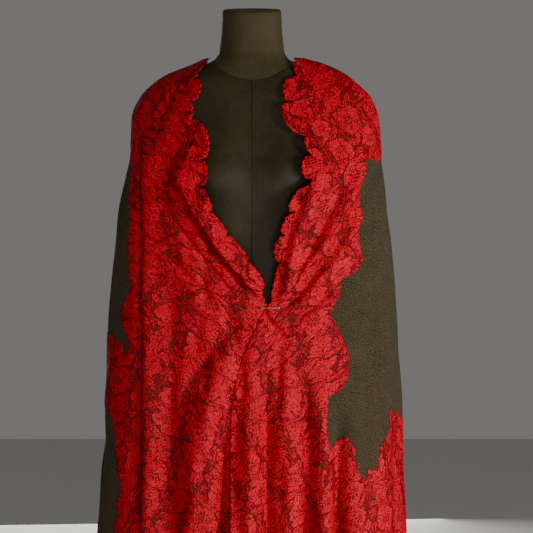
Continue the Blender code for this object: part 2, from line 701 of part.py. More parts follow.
def table_value(rows, place, value, at):
    """Straight-line reading of a table."""
    rows = sorted(rows)
    return np.interp(at, [getattr(row, place) for row in rows], [getattr(row, value) for row in rows])


def neck_band(bearing, height, x):
    """Above nought in the lace round the neck and shoulders."""
    scallop = NECK_BAND_SCALLOP * np.abs(np.sin(bearing * NECK_BAND_SCALLOPS / 2))
    return height - NECK_BAND - scallop


def left_neck_band(bearing, height, x):
    """The band ends higher over the left shoulder."""
    ahead = smooth_step((bearing + math.radians(135)) / math.radians(30))
    return neck_band(bearing, height, x) - LEFT_NECK_BAND_RISE * ahead


def hem_band(bearing, height, x):
    """Above nought in the lace along the hem."""
    scallop = NECK_BAND_SCALLOP * np.abs(np.sin(bearing * NECK_BAND_SCALLOPS / 2))
    return table_value(HEM_BAND, "bearing", "height", np.degrees(bearing)) - scallop - height


def left_hem_band(bearing, height, x):
    """The lobe of lace at the lower left and the hem behind it."""
    lobe = np.minimum(x - table_value(LEFT_LOBE, "height", "x", height), LOBE_TOP - height)
    lobe = np.minimum(lobe, (bearing - LOBE_BACK_BEARING) * LOBE_BACK_SLOPE)
    return np.maximum(lobe, hem_band(bearing, height, x))


def left_front_band(bearing, height, x):
    """The left front is lace up to the deep fold, with a ragged strip beyond it."""
    gap = table_value(FRONT_FOLDS[0].rows, "height", "x", height)
    strip = x - table_value(LEFT_STRIP, "height", "x", height)
    neck = left_neck_band(bearing, height, x)
    parts = (x - gap + STRIP_PAST_GAP, neck, strip, left_hem_band(bearing, height, x))
    return np.max(parts, axis=0)


def right_front_band(bearing, height, x):
    """Lace from the neck edge to the border's line, and below the wool's field."""
    border = table_value(RIGHT_BORDER, "height", "x", height) - x
    return np.max((neck_band(bearing, height, x), border, hem_band(bearing, height, x)), axis=0)


LacePiece = namedtuple("LacePiece", "name stretch band")
LACE_PIECES = (
    LacePiece("lace_left_front", "left_front", left_front_band),
    LacePiece("lace_left_shoulder", "left_side", left_neck_band),
    LacePiece("lace_left_hem", "left_side", left_hem_band),
    LacePiece("lace_back_neck", "back", neck_band),
    LacePiece("lace_back_hem", "back", hem_band),
    LacePiece("lace_right_shoulder", "right_side", neck_band),
    LacePiece("lace_right_hem", "right_side", hem_band),
    LacePiece("lace_right_front", "right_front", right_front_band),
)


class LaceNet:
    """The part of a stretch's net that the lace covers, with its scalloped rim and holes."""

    def __init__(self, net, band):
        self.net = net
        bearings = np.array([wrapped(b) for b in net.bearings])
        heights = np.array(net.heights)
        self.inside = band(bearings, heights, net.points[:, 0])
        self.inside = np.where(np.abs(self.inside) < 0.0004, 0.0004, self.inside)
        self.points, self.offsets = list(net.points), list(net.offsets)
        self.triangles, self.cuts = [], {}

    def add(self, point, offset):
        """Add a point and return its number."""
        self.points.append(point)
        self.offsets.append(offset)
        return len(self.points) - 1

    def blend(self, a, b, share):
        """A point between two others."""
        point = self.points[a] * (1 - share) + self.points[b] * share
        return self.add(point, self.offsets[a] * (1 - share) + self.offsets[b] * share)

    def cut(self, a, b):
        """The point where the lace's border crosses an edge."""
        key = (min(a, b), max(a, b))
        if key not in self.cuts:
            first, second = self.inside[key[0]], self.inside[key[1]]
            share = min(max(first / (first - second), 0.08), 0.92)
            self.cuts[key] = self.blend(*key, share)
        return self.cuts[key]

    def clip(self, triangle):
        """Keep the covered part of a triangle."""
        ring = []
        for start, end in zip(triangle, triangle[1:] + triangle[:1]):
            if self.inside[start] > 0:
                ring.append(start)
            if (self.inside[start] > 0) != (self.inside[end] > 0):
                ring.append(self.cut(start, end))
        for index in range(1, len(ring) - 1):
            self.triangles.append((ring[0], ring[index], ring[index + 1]))

    def hole(self, a, b, c, d):
        """Cut a long gap across a cell's diagonal. Returns False where it would be too small."""
        corner = [self.points[index] for index in (a, b, c, d)]
        diagonal = corner[2] - corner[0]
        area = np.linalg.norm(np.cross(corner[1] - corner[0], diagonal))
        area = min(area, np.linalg.norm(np.cross(corner[3] - corner[0], diagonal)))
        width = 2 * HOLE_WIDTH_SHARE * area / np.linalg.norm(diagonal)
        if width < SMALLEST_HOLE:
            return False
        near, far = 0.5 - HOLE_LENGTH_SHARE / 2, 0.5 + HOLE_LENGTH_SHARE / 2
        start, end = self.blend(a, c, near), self.blend(a, c, far)
        middle = self.blend(a, c, 0.5)
        low, high = self.blend(middle, b, HOLE_WIDTH_SHARE), self.blend(middle, d, HOLE_WIDTH_SHARE)
        self.triangles += [
            (a, b, low), (a, low, start), (b, c, low), (c, end, low),
            (c, d, high), (c, high, end), (d, a, high), (a, start, high),
        ]
        return True

    def rim(self, run, places, front, flipped=False):
        """Add the scallops that stand past the wool's edge. Places are bearings and heights."""
        bearings, heights = np.array(places).T
        points, normals = surface(bearings, heights, front), outward(bearings, heights, front)
        tips = [self.add(point, normal) for point, normal in zip(points, normals)]
        if flipped:
            run, tips = run[::-1], tips[::-1]
        for index in range(len(run) - 1):
            if self.inside[run[index]] > 0 and self.inside[run[index + 1]] > 0:
                self.triangles.append((run[index], tips[index], run[index + 1]))
                self.triangles.append((run[index + 1], tips[index], tips[index + 1]))


def edge_rim(stretch, net, lace):
    """Scallops past a front's free edge."""
    side = -1 if stretch.front == "left" else 1
    places = []
    for index, number in enumerate(net.edge):
        bearing, height = net.bearings[number], net.heights[number]
        reach = SCALLOP_STEPS[index % len(SCALLOP_STEPS)]
        places.append((bearing - side * reach / drape_radius(bearing, height), height))
    lace.rim(net.edge, places, stretch.front)


def level_rim(stretch, net, lace, row, downwards):
    """Scallops past the neckline row or the hem row."""
    places = []
    for index, number in enumerate(row):
        reach = SCALLOP_STEPS[index % 2 * 2] * (1.0 if downwards else 0.6)
        height = net.heights[number] - reach if downwards else net.heights[number] + reach
        places.append((net.bearings[number], height))
    lace.rim(row, places, stretch.front, flipped=not downwards)


def keep_largest(triangles):
    """The triangles of the largest joined group."""
    group = {}

    def root(number):
        while group.setdefault(number, number) != number:
            number = group[number]
        return number

    for a, b, c in triangles:
        group[root(b)] = root(a)
        group[root(c)] = root(a)
    counts = {}
    for triangle in triangles:
        counts[root(triangle[0])] = counts.get(root(triangle[0]), 0) + 1
    largest = max(counts, key=counts.get)
    return [triangle for triangle in triangles if root(triangle[0]) == largest]


def lace_piece(piece, stretch, net):
    """One piece of the lace border, lying on its stretch of wool."""
    lace = LaceNet(net, piece.band)
    cell_of = {}
    for level, column, a, b, c, d in net.cells:
        cell_of[(a, b, c)] = cell_of[(a, c, d)] = (level, column, a, b, c, d)
    done = set()
    for triangle in net.triangles:
        cell = cell_of.get(triangle)
        if cell is None:
            lace.clip(triangle)
            continue
        if cell in done:
            continue
        done.add(cell)
        level, column, a, b, c, d = cell
        covered = all(lace.inside[number] > 0 for number in (a, b, c, d))
        chosen = covered and (2 * level + 3 * column) % HOLE_REPEAT == 0
        if not (chosen and lace.hole(a, b, c, d)):
            lace.clip((a, b, c))
            lace.clip((a, c, d))
    if stretch.free_edge:
        edge_rim(stretch, net, lace)
    level_rim(stretch, net, lace, net.rows[-1], True)
    if not stretch.free_edge:
        level_rim(stretch, net, lace, net.rows[0], False)
    triangles = keep_largest(lace.triangles)
    points, offsets = np.array(lace.points), np.array(lace.offsets)
    low, top = points + offsets * GAP, points + offsets * (GAP + LACE_THICKNESS)
    return closed_sheet(piece.name, LACE, top, low, triangles)


def shawl():
    """All the stretches of wool and the lace on them."""
    nets = {stretch.name: stretch_net(stretch) for stretch in STRETCHES}
    for stretch in STRETCHES:
        wool_stretch(stretch, nets[stretch.name])
    by_name = {stretch.name: stretch for stretch in STRETCHES}
    for piece in LACE_PIECES:
        lace_piece(piece, by_name[piece.stretch], nets[piece.stretch])


FORM_SIDES = 26
TORSO_HEIGHTS = (
    TORSO_BOTTOM, 0.812, 0.840, 0.880, 0.930, 0.975, 1.020, 1.070, 1.125, 1.165, 1.200,
    1.235, 1.275, 1.315, 1.345, 1.370, 1.393, NECK_SEAM,
)
NECK_SHARES = (0.0, 0.15, 0.32, 0.60, 0.95, 1.0)
NECK_RIM_ROUND = 0.004


def seam_height(bearing):
    """Height of the neck seam, which dips in a deep curve in front."""
    ahead, behind = max(math.cos(bearing), 0.0), max(-math.cos(bearing), 0.0)
    return NECK_SEAM - NECK_SEAM_DIP * ahead**3 + NECK_SEAM_BACK_RISE * behind


def ring_solid(name, finish, rings, sharp_degrees):
    """A closed solid through rings of points, bottom to top, with a fan on each end."""
    mesh = bmesh.new()
    loops = [[mesh.verts.new(point) for point in ring] for ring in rings]
    for lower, upper in zip(loops, loops[1:]):
        for index in range(len(lower)):
            after = (index + 1) % len(lower)
            mesh.faces.new((lower[index], lower[after], upper[after], upper[index]))
    for loop in (loops[0], loops[-1]):
        centre = mesh.verts.new(np.mean([vert.co for vert in loop], axis=0))
        for index in range(len(loop)):
            mesh.faces.new((loop[index], loop[(index + 1) % len(loop)], centre))
    return finish_object(name, finish, mesh, sharp_degrees)


def form_ring(height_at, inset=0.0):
    """Points round the form, at a height for each bearing."""
    ring = []
    for index in range(FORM_SIDES):
        bearing = 2 * math.pi * index / FORM_SIDES
        height = height_at(bearing)
        radius = float(form_radius(bearing, height)) - inset
        ring.append((radius * math.sin(bearing), -radius * math.cos(bearing), height))
    return ring


def dress_form():
    """The limbless body and its neck cap."""
    rings = []
    for level in TORSO_HEIGHTS:
        share = float(smooth_step((level - SEAM_TILT_FROM) / (NECK_SEAM - SEAM_TILT_FROM)))
        rings.append(form_ring(lambda b, z=level, s=share: z + (seam_height(b) - NECK_SEAM) * s))
    ring_solid("form_torso", FORM_CLOTH, rings, 50)
    rings = []
    for share in NECK_SHARES:
        def height_at(bearing, share=share):
            low = seam_height(bearing) + GAP
            high = NECK_TOP + NECK_TOP_TILT * math.cos(bearing)
            return low + (high - low) * share
        rings.append(form_ring(height_at, NECK_RIM_ROUND if share == 1.0 else 0.0))
    ring_solid("form_neck", NECK_CLOTH, rings, 50)


def turned_solid(name, finish, profile, sides):
    """Spin a profile of (radius, height) pairs, from axis to axis, round the upright axis."""
    mesh = bmesh.new()
    verts = [mesh.verts.new((radius, 0.0, height)) for radius, height in profile]
    edges = [mesh.edges.new(pair) for pair in zip(verts, verts[1:])]
    bmesh.ops.spin(
        mesh, geom=verts + edges, cent=(0, 0, 0), axis=(0, 0, 1), angle=2 * math.pi, steps=sides
    )
    bmesh.ops.remove_doubles(mesh, verts=list(mesh.verts), dist=0.00005)
    return finish_object(name, finish, mesh, 40)


def stand():
    """A plain pole on a round base."""
    top = TORSO_BOTTOM - GAP
    pole_foot = BASE_HEIGHT + GAP
    turned_solid(
        "form_pole", STAND,
        [(0, pole_foot), (POLE_RADIUS, pole_foot), (POLE_RADIUS, top), (0, top)], 24,
    )
    turned_solid(
        "form_base", STAND,
        [
            (0, 0), (BASE_RADIUS - BASE_BEVEL, 0), (BASE_RADIUS, BASE_BEVEL),
            (BASE_RADIUS, BASE_HEIGHT - BASE_BEVEL), (BASE_RADIUS - BASE_BEVEL, BASE_HEIGHT),
            (0, BASE_HEIGHT),
        ],
        40,
    )


def pin():
    """A straight pin with a ball head, lying on the lace where the fronts meet."""
    samples = np.linspace(-PIN_LENGTH / 2, PIN_LENGTH / 2 + PIN_HEAD_RADIUS, 25) + PIN_CENTRE_X
    front_most = 1.0
    for x in samples:
        side = 1 if x > 0 else -1
        bearing = bearing_of_x(float(x), PIN_HEIGHT, side)
        front_most = min(front_most, float(surface(bearing, PIN_HEIGHT, "right")[1]))
    y = front_most - LACE_THICKNESS - 3 * GAP - PIN_RADIUS
    profile, turns = [(-PIN_LENGTH / 2, 0.0), (-PIN_LENGTH / 2 + 0.004, PIN_RADIUS)], 6
    meet = math.sqrt(PIN_HEAD_RADIUS**2 - PIN_RADIUS**2)
    centre = PIN_LENGTH / 2 + meet
    for turn in range(turns + 1):
        angle = math.pi - math.asin(PIN_RADIUS / PIN_HEAD_RADIUS)
        angle *= 1 - turn / turns
        profile.append((
            centre + PIN_HEAD_RADIUS * math.cos(angle), PIN_HEAD_RADIUS * math.sin(angle)
        ))
    thing = turned_solid("pin", PIN_METAL, [(radius, along) for along, radius in profile], 12)
    thing.rotation_euler = (0, math.pi / 2, 0)
    thing.location = (PIN_CENTRE_X, y - (PIN_HEAD_RADIUS - PIN_RADIUS), PIN_HEIGHT)
    return thing


clear_scene()
shawl()
pin()
dress_form()
stand()
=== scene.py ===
"""A lace-bordered wool shawl, worn over the shoulders of a limbless dress form.

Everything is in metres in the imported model's frame: +Z is up, the form faces -Y and +X is the
viewer's right. A point of the cloth is named by its bearing round the form's axis, zero straight
ahead and negative on the viewer's left, and by its height.
"""

from __future__ import annotations

import logging
import math
from dataclasses import dataclass, field
from enum import Enum
from typing import Callable, NamedTuple, Sequence

import bmesh
import bpy
import numpy as np
from mathutils import Matrix, Vector

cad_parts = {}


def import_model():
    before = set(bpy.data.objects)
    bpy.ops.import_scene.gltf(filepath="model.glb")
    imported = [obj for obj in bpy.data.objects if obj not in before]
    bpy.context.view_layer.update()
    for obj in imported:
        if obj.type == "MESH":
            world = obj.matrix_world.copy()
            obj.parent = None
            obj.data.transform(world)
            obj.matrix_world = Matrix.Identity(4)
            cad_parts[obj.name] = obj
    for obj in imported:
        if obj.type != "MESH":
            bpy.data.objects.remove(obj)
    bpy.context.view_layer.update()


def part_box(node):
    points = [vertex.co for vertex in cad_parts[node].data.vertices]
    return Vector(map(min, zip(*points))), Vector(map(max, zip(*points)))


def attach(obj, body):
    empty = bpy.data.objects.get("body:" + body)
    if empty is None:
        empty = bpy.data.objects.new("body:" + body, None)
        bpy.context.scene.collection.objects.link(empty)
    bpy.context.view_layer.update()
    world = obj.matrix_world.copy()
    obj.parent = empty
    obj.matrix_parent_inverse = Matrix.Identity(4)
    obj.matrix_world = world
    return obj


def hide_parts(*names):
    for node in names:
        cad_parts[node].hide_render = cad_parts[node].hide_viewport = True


Array = np.ndarray
Colour = tuple[float, float, float]
Curve = Callable[[Array], Array]

log = logging.getLogger("shawl")


class Front(Enum):
    """Which front of the shawl a fold or a stretch belongs to."""

    LEFT = "left"
    RIGHT = "right"
    BOTH = "both"


class Profile(Enum):
    """The shape of a fold across its line."""

    SOFT = "soft"
    SQUARE = "square"


class Section(NamedTuple):
    """Half widths to the viewer's left and right, and depths, of the hanging cloth."""

    height: float
    left: float
    right: float
    front: float
    back: float
    roundness: float


class FormSection(NamedTuple):
    """Half width and depths of the dress form."""

    height: float
    side: float
    front: float
    back: float


class EdgeRow(NamedTuple):
    """The x of a line on the front at a height."""

    height: float
    x: float


class BandRow(NamedTuple):
    """The height of a band's border at a bearing in degrees."""

    bearing: float
    height: float


class FoldRow(NamedTuple):
    """A fold's line, rise, width and lean at a height."""

    height: float
    x: float
    rise: float
    width: float
    lean: float = 0.0


class Fold(NamedTuple):
    """A fold of the front."""

    name: str
    front: Front
    profile: Profile
    rows: tuple[FoldRow, ...]


class HangingFold(NamedTuple):
    """A fold of the sides or the back, by bearing in degrees at its top and at the hem."""

    top_bearing: float
    hem_bearing: float
    rise: float
    width: float
    start: float


class Swell(NamedTuple):
    """A low wave of the cloth: waves round the form, waves per metre down, phase and height."""

    round: int
    down: float
    phase: float
    rise: float


DRAPE_SECTIONS = (
    Section(1.412, 0.086, 0.098, 0.052, 0.076, 2.0),
    Section(1.400, 0.112, 0.140, 0.058, 0.086, 2.0),
    Section(1.380, 0.163, 0.180, 0.072, 0.098, 2.0),
    Section(1.360, 0.192, 0.204, 0.084, 0.108, 2.1),
    Section(1.338, 0.213, 0.226, 0.096, 0.116, 2.15),
    Section(1.300, 0.230, 0.241, 0.111, 0.126, 2.2),
    Section(1.240, 0.232, 0.245, 0.132, 0.133, 2.25),
    Section(1.185, 0.240, 0.252, 0.147, 0.132, 2.3),
    Section(1.130, 0.252, 0.258, 0.150, 0.130, 2.35),
    Section(1.050, 0.263, 0.265, 0.144, 0.130, 2.4),
    Section(0.955, 0.272, 0.272, 0.137, 0.137, 2.4),
    Section(0.860, 0.276, 0.277, 0.142, 0.150, 2.45),
    Section(0.720, 0.280, 0.279, 0.147, 0.158, 2.5),
    Section(0.575, 0.291, 0.282, 0.151, 0.166, 2.5),
    Section(0.460, 0.296, 0.284, 0.154, 0.171, 2.5),
    Section(0.340, 0.302, 0.287, 0.158, 0.176, 2.5),
)
FORM_SECTIONS = (
    FormSection(1.520, 0.055, 0.053, 0.056),
    FormSection(1.470, 0.057, 0.054, 0.058),
    FormSection(1.440, 0.060, 0.056, 0.062),
    FormSection(1.420, 0.063, 0.058, 0.066),
    FormSection(1.410, 0.070, 0.061, 0.070),
    FormSection(1.398, 0.093, 0.065, 0.077),
    FormSection(1.385, 0.130, 0.070, 0.083),
    FormSection(1.370, 0.162, 0.076, 0.089),
    FormSection(1.350, 0.186, 0.083, 0.095),
    FormSection(1.325, 0.196, 0.090, 0.100),
    FormSection(1.290, 0.190, 0.098, 0.104),
    FormSection(1.250, 0.174, 0.108, 0.106),
    FormSection(1.185, 0.157, 0.118, 0.103),
    FormSection(1.100, 0.139, 0.104, 0.093),
    FormSection(1.020, 0.127, 0.090, 0.085),
    FormSection(0.950, 0.154, 0.098, 0.106),
    FormSection(0.870, 0.176, 0.106, 0.128),
    FormSection(0.825, 0.171, 0.102, 0.122),
    FormSection(0.800, 0.154, 0.090, 0.108),
    FormSection(0.775, 0.080, 0.050, 0.060),
    FormSection(0.750, 0.001, 0.001, 0.001),
)
LEFT_EDGE = (
    EdgeRow(1.408, -0.083), EdgeRow(1.380, -0.108), EdgeRow(1.340, -0.122), EdgeRow(1.300, -0.121),
    EdgeRow(1.260, -0.108), EdgeRow(1.220, -0.103), EdgeRow(1.180, -0.104), EdgeRow(1.150, -0.096),
    EdgeRow(1.120, -0.081), EdgeRow(1.090, -0.060), EdgeRow(1.060, -0.036), EdgeRow(1.030, -0.014),
    EdgeRow(1.000, 0.006), EdgeRow(0.975, 0.016), EdgeRow(0.950, 0.024), EdgeRow(0.930, 0.036),
    EdgeRow(0.900, 0.048), EdgeRow(0.380, 0.052),
)
RIGHT_EDGE = (
    EdgeRow(1.408, 0.084), EdgeRow(1.380, 0.091), EdgeRow(1.355, 0.082), EdgeRow(1.320, 0.080),
    EdgeRow(1.290, 0.088), EdgeRow(1.260, 0.106), EdgeRow(1.220, 0.117), EdgeRow(1.180, 0.115),
    EdgeRow(1.150, 0.100), EdgeRow(1.110, 0.080), EdgeRow(1.060, 0.064), EdgeRow(1.010, 0.058),
    EdgeRow(0.975, 0.050), EdgeRow(0.950, 0.035), EdgeRow(0.930, 0.022), EdgeRow(0.900, 0.008),
    EdgeRow(0.860, -0.010), EdgeRow(0.800, -0.027), EdgeRow(0.740, -0.034), EdgeRow(0.380, -0.036),
)
GAP_LINE = (
    FoldRow(1.290, -0.220, 0.000, 0.005),
    FoldRow(1.230, -0.209, -0.008, 0.005),
    FoldRow(1.050, -0.205, -0.019, 0.0055),
    FoldRow(0.870, -0.205, -0.034, 0.0070),
    FoldRow(0.720, -0.207, -0.046, 0.0088),
    FoldRow(0.360, -0.210, -0.053, 0.0105),
)
MAIN_FOLDS = (
    Fold("side gap", Front.BOTH, Profile.SQUARE, GAP_LINE),
    Fold("rolled edge of the gap", Front.BOTH, Profile.SOFT, (
        FoldRow(1.290, -0.204, 0.000, 0.012),
        FoldRow(1.230, -0.192, 0.003, 0.012, -0.004),
        FoldRow(1.050, -0.188, 0.006, 0.012, -0.008),
        FoldRow(0.870, -0.187, 0.008, 0.012, -0.009),
        FoldRow(0.360, -0.190, 0.011, 0.013, -0.008),
    )),
    Fold("dip beside the bust", Front.BOTH, Profile.SOFT, (
        FoldRow(1.240, -0.165, 0.000, 0.020),
        FoldRow(1.180, -0.160, -0.009, 0.020),
        FoldRow(1.130, -0.155, -0.007, 0.020),
        FoldRow(1.070, -0.150, 0.000, 0.020),
    )),
    Fold("crease under the left neck roll", Front.LEFT, Profile.SOFT, (
        FoldRow(1.210, -0.172, 0.000, 0.008),
        FoldRow(1.187, -0.165, -0.004, 0.008),
        FoldRow(1.133, -0.122, -0.008, 0.009),
        FoldRow(1.051, -0.067, -0.009, 0.009),
        FoldRow(0.987, -0.013, -0.007, 0.008),
        FoldRow(0.955, 0.022, 0.000, 0.007),
    )),
    Fold("left neck roll", Front.LEFT, Profile.SOFT, (
        FoldRow(1.210, -0.150, 0.000, 0.013),
        FoldRow(1.160, -0.126, 0.006, 0.013, -0.003),
        FoldRow(1.133, -0.101, 0.009, 0.012, -0.004),
        FoldRow(1.051, -0.047, 0.010, 0.012, -0.004),
        FoldRow(0.987, 0.003, 0.008, 0.010, -0.003),
        FoldRow(0.955, 0.028, 0.000, 0.010),
    )),
    Fold("right drag ridge", Front.RIGHT, Profile.SOFT, (
        FoldRow(1.215, 0.212, 0.000, 0.014),
        FoldRow(1.180, 0.198, 0.007, 0.014),
        FoldRow(1.069, 0.142, 0.010, 0.014),
        FoldRow(0.978, 0.069, 0.006, 0.011),
        FoldRow(0.955, 0.045, 0.000, 0.010),
    )),
    Fold("right drag valley", Front.RIGHT, Profile.SOFT, (
        FoldRow(1.180, 0.222, 0.000, 0.012),
        FoldRow(1.130, 0.192, -0.006, 0.012),
        FoldRow(1.045, 0.152, -0.008, 0.012),
        FoldRow(0.962, 0.084, -0.005, 0.010),
        FoldRow(0.945, 0.055, 0.000, 0.009),
    )),
    Fold("lower drag ridge", Front.RIGHT, Profile.SOFT, (
        FoldRow(1.110, 0.200, 0.000, 0.013),
        FoldRow(1.087, 0.187, 0.006, 0.013),
        FoldRow(0.990, 0.120, 0.008, 0.012),
        FoldRow(0.942, 0.080, 0.004, 0.011),
        FoldRow(0.925, 0.060, 0.000, 0.011),
    )),
    Fold("right neck roll", Front.RIGHT, Profile.SOFT, (
        FoldRow(1.200, 0.128, 0.000, 0.010),
        FoldRow(1.151, 0.112, 0.006, 0.011),
        FoldRow(1.060, 0.078, 0.009, 0.011),
        FoldRow(1.000, 0.068, 0.006, 0.010),
        FoldRow(0.960, 0.052, 0.000, 0.010),
    )),
    Fold("left hanging ridge", Front.LEFT, Profile.SOFT, (
        FoldRow(0.900, -0.030, 0.000, 0.018),
        FoldRow(0.851, -0.050, 0.009, 0.020),
        FoldRow(0.724, -0.092, 0.015, 0.022),
        FoldRow(0.633, -0.106, 0.017, 0.022),
        FoldRow(0.537, -0.104, 0.016, 0.022),
        FoldRow(0.360, -0.100, 0.020, 0.024),
    )),
    Fold("valley beside the lapped edge", Front.LEFT, Profile.SQUARE, (
        FoldRow(0.740, -0.040, 0.000, 0.007),
        FoldRow(0.700, -0.043, -0.006, 0.008),
        FoldRow(0.650, -0.045, -0.018, 0.010),
        FoldRow(0.580, -0.046, -0.028, 0.012),
        FoldRow(0.360, -0.046, -0.034, 0.014),
    )),
    Fold("left soft valley", Front.LEFT, Profile.SOFT, (
        FoldRow(1.000, -0.145, 0.000, 0.016),
        FoldRow(0.900, -0.147, -0.006, 0.016),
        FoldRow(0.720, -0.150, -0.011, 0.017),
        FoldRow(0.360, -0.152, -0.015, 0.018),
    )),
    Fold("ridge of the lapped edge", Front.BOTH, Profile.SOFT, (
        FoldRow(0.930, 0.012, 0.000, 0.014),
        FoldRow(0.890, -0.002, 0.006, 0.015),
        FoldRow(0.720, -0.006, 0.010, 0.016),
        FoldRow(0.537, -0.004, 0.013, 0.016),
        FoldRow(0.360, -0.002, 0.015, 0.018),
    )),
    Fold("first right valley", Front.BOTH, Profile.SOFT, (
        FoldRow(0.870, 0.030, 0.000, 0.012),
        FoldRow(0.800, 0.030, -0.006, 0.012),
        FoldRow(0.537, 0.030, -0.009, 0.013),
        FoldRow(0.360, 0.031, -0.011, 0.014),
    )),
    Fold("middle right ridge", Front.RIGHT, Profile.SOFT, (
        FoldRow(0.930, 0.060, 0.000, 0.018),
        FoldRow(0.800, 0.066, 0.006, 0.018),
        FoldRow(0.537, 0.069, 0.010, 0.018),
        FoldRow(0.360, 0.070, 0.013, 0.020),
    )),
    Fold("second right valley", Front.RIGHT, Profile.SQUARE, (
        FoldRow(0.830, 0.098, 0.000, 0.009),
        FoldRow(0.760, 0.102, -0.009, 0.009),
        FoldRow(0.690, 0.105, -0.017, 0.010),
        FoldRow(0.537, 0.106, -0.023, 0.010),
        FoldRow(0.360, 0.107, -0.026, 0.011),
    )),
    Fold("narrow right ridge", Front.RIGHT, Profile.SOFT, (
        FoldRow(0.830, 0.128, 0.000, 0.012),
        FoldRow(0.720, 0.132, 0.007, 0.012),
        FoldRow(0.360, 0.134, 0.010, 0.013),
    )),
    Fold("third right valley", Front.RIGHT, Profile.SQUARE, (
        FoldRow(0.800, 0.158, 0.000, 0.009),
        FoldRow(0.740, 0.161, -0.003, 0.009),
        FoldRow(0.620, 0.162, -0.019, 0.010),
        FoldRow(0.360, 0.164, -0.024, 0.011),
    )),
    Fold("outer right ridge", Front.RIGHT, Profile.SOFT, (
        FoldRow(0.800, 0.186, 0.000, 0.013),
        FoldRow(0.720, 0.190, 0.006, 0.013),
        FoldRow(0.360, 0.194, 0.010, 0.014),
    )),
)

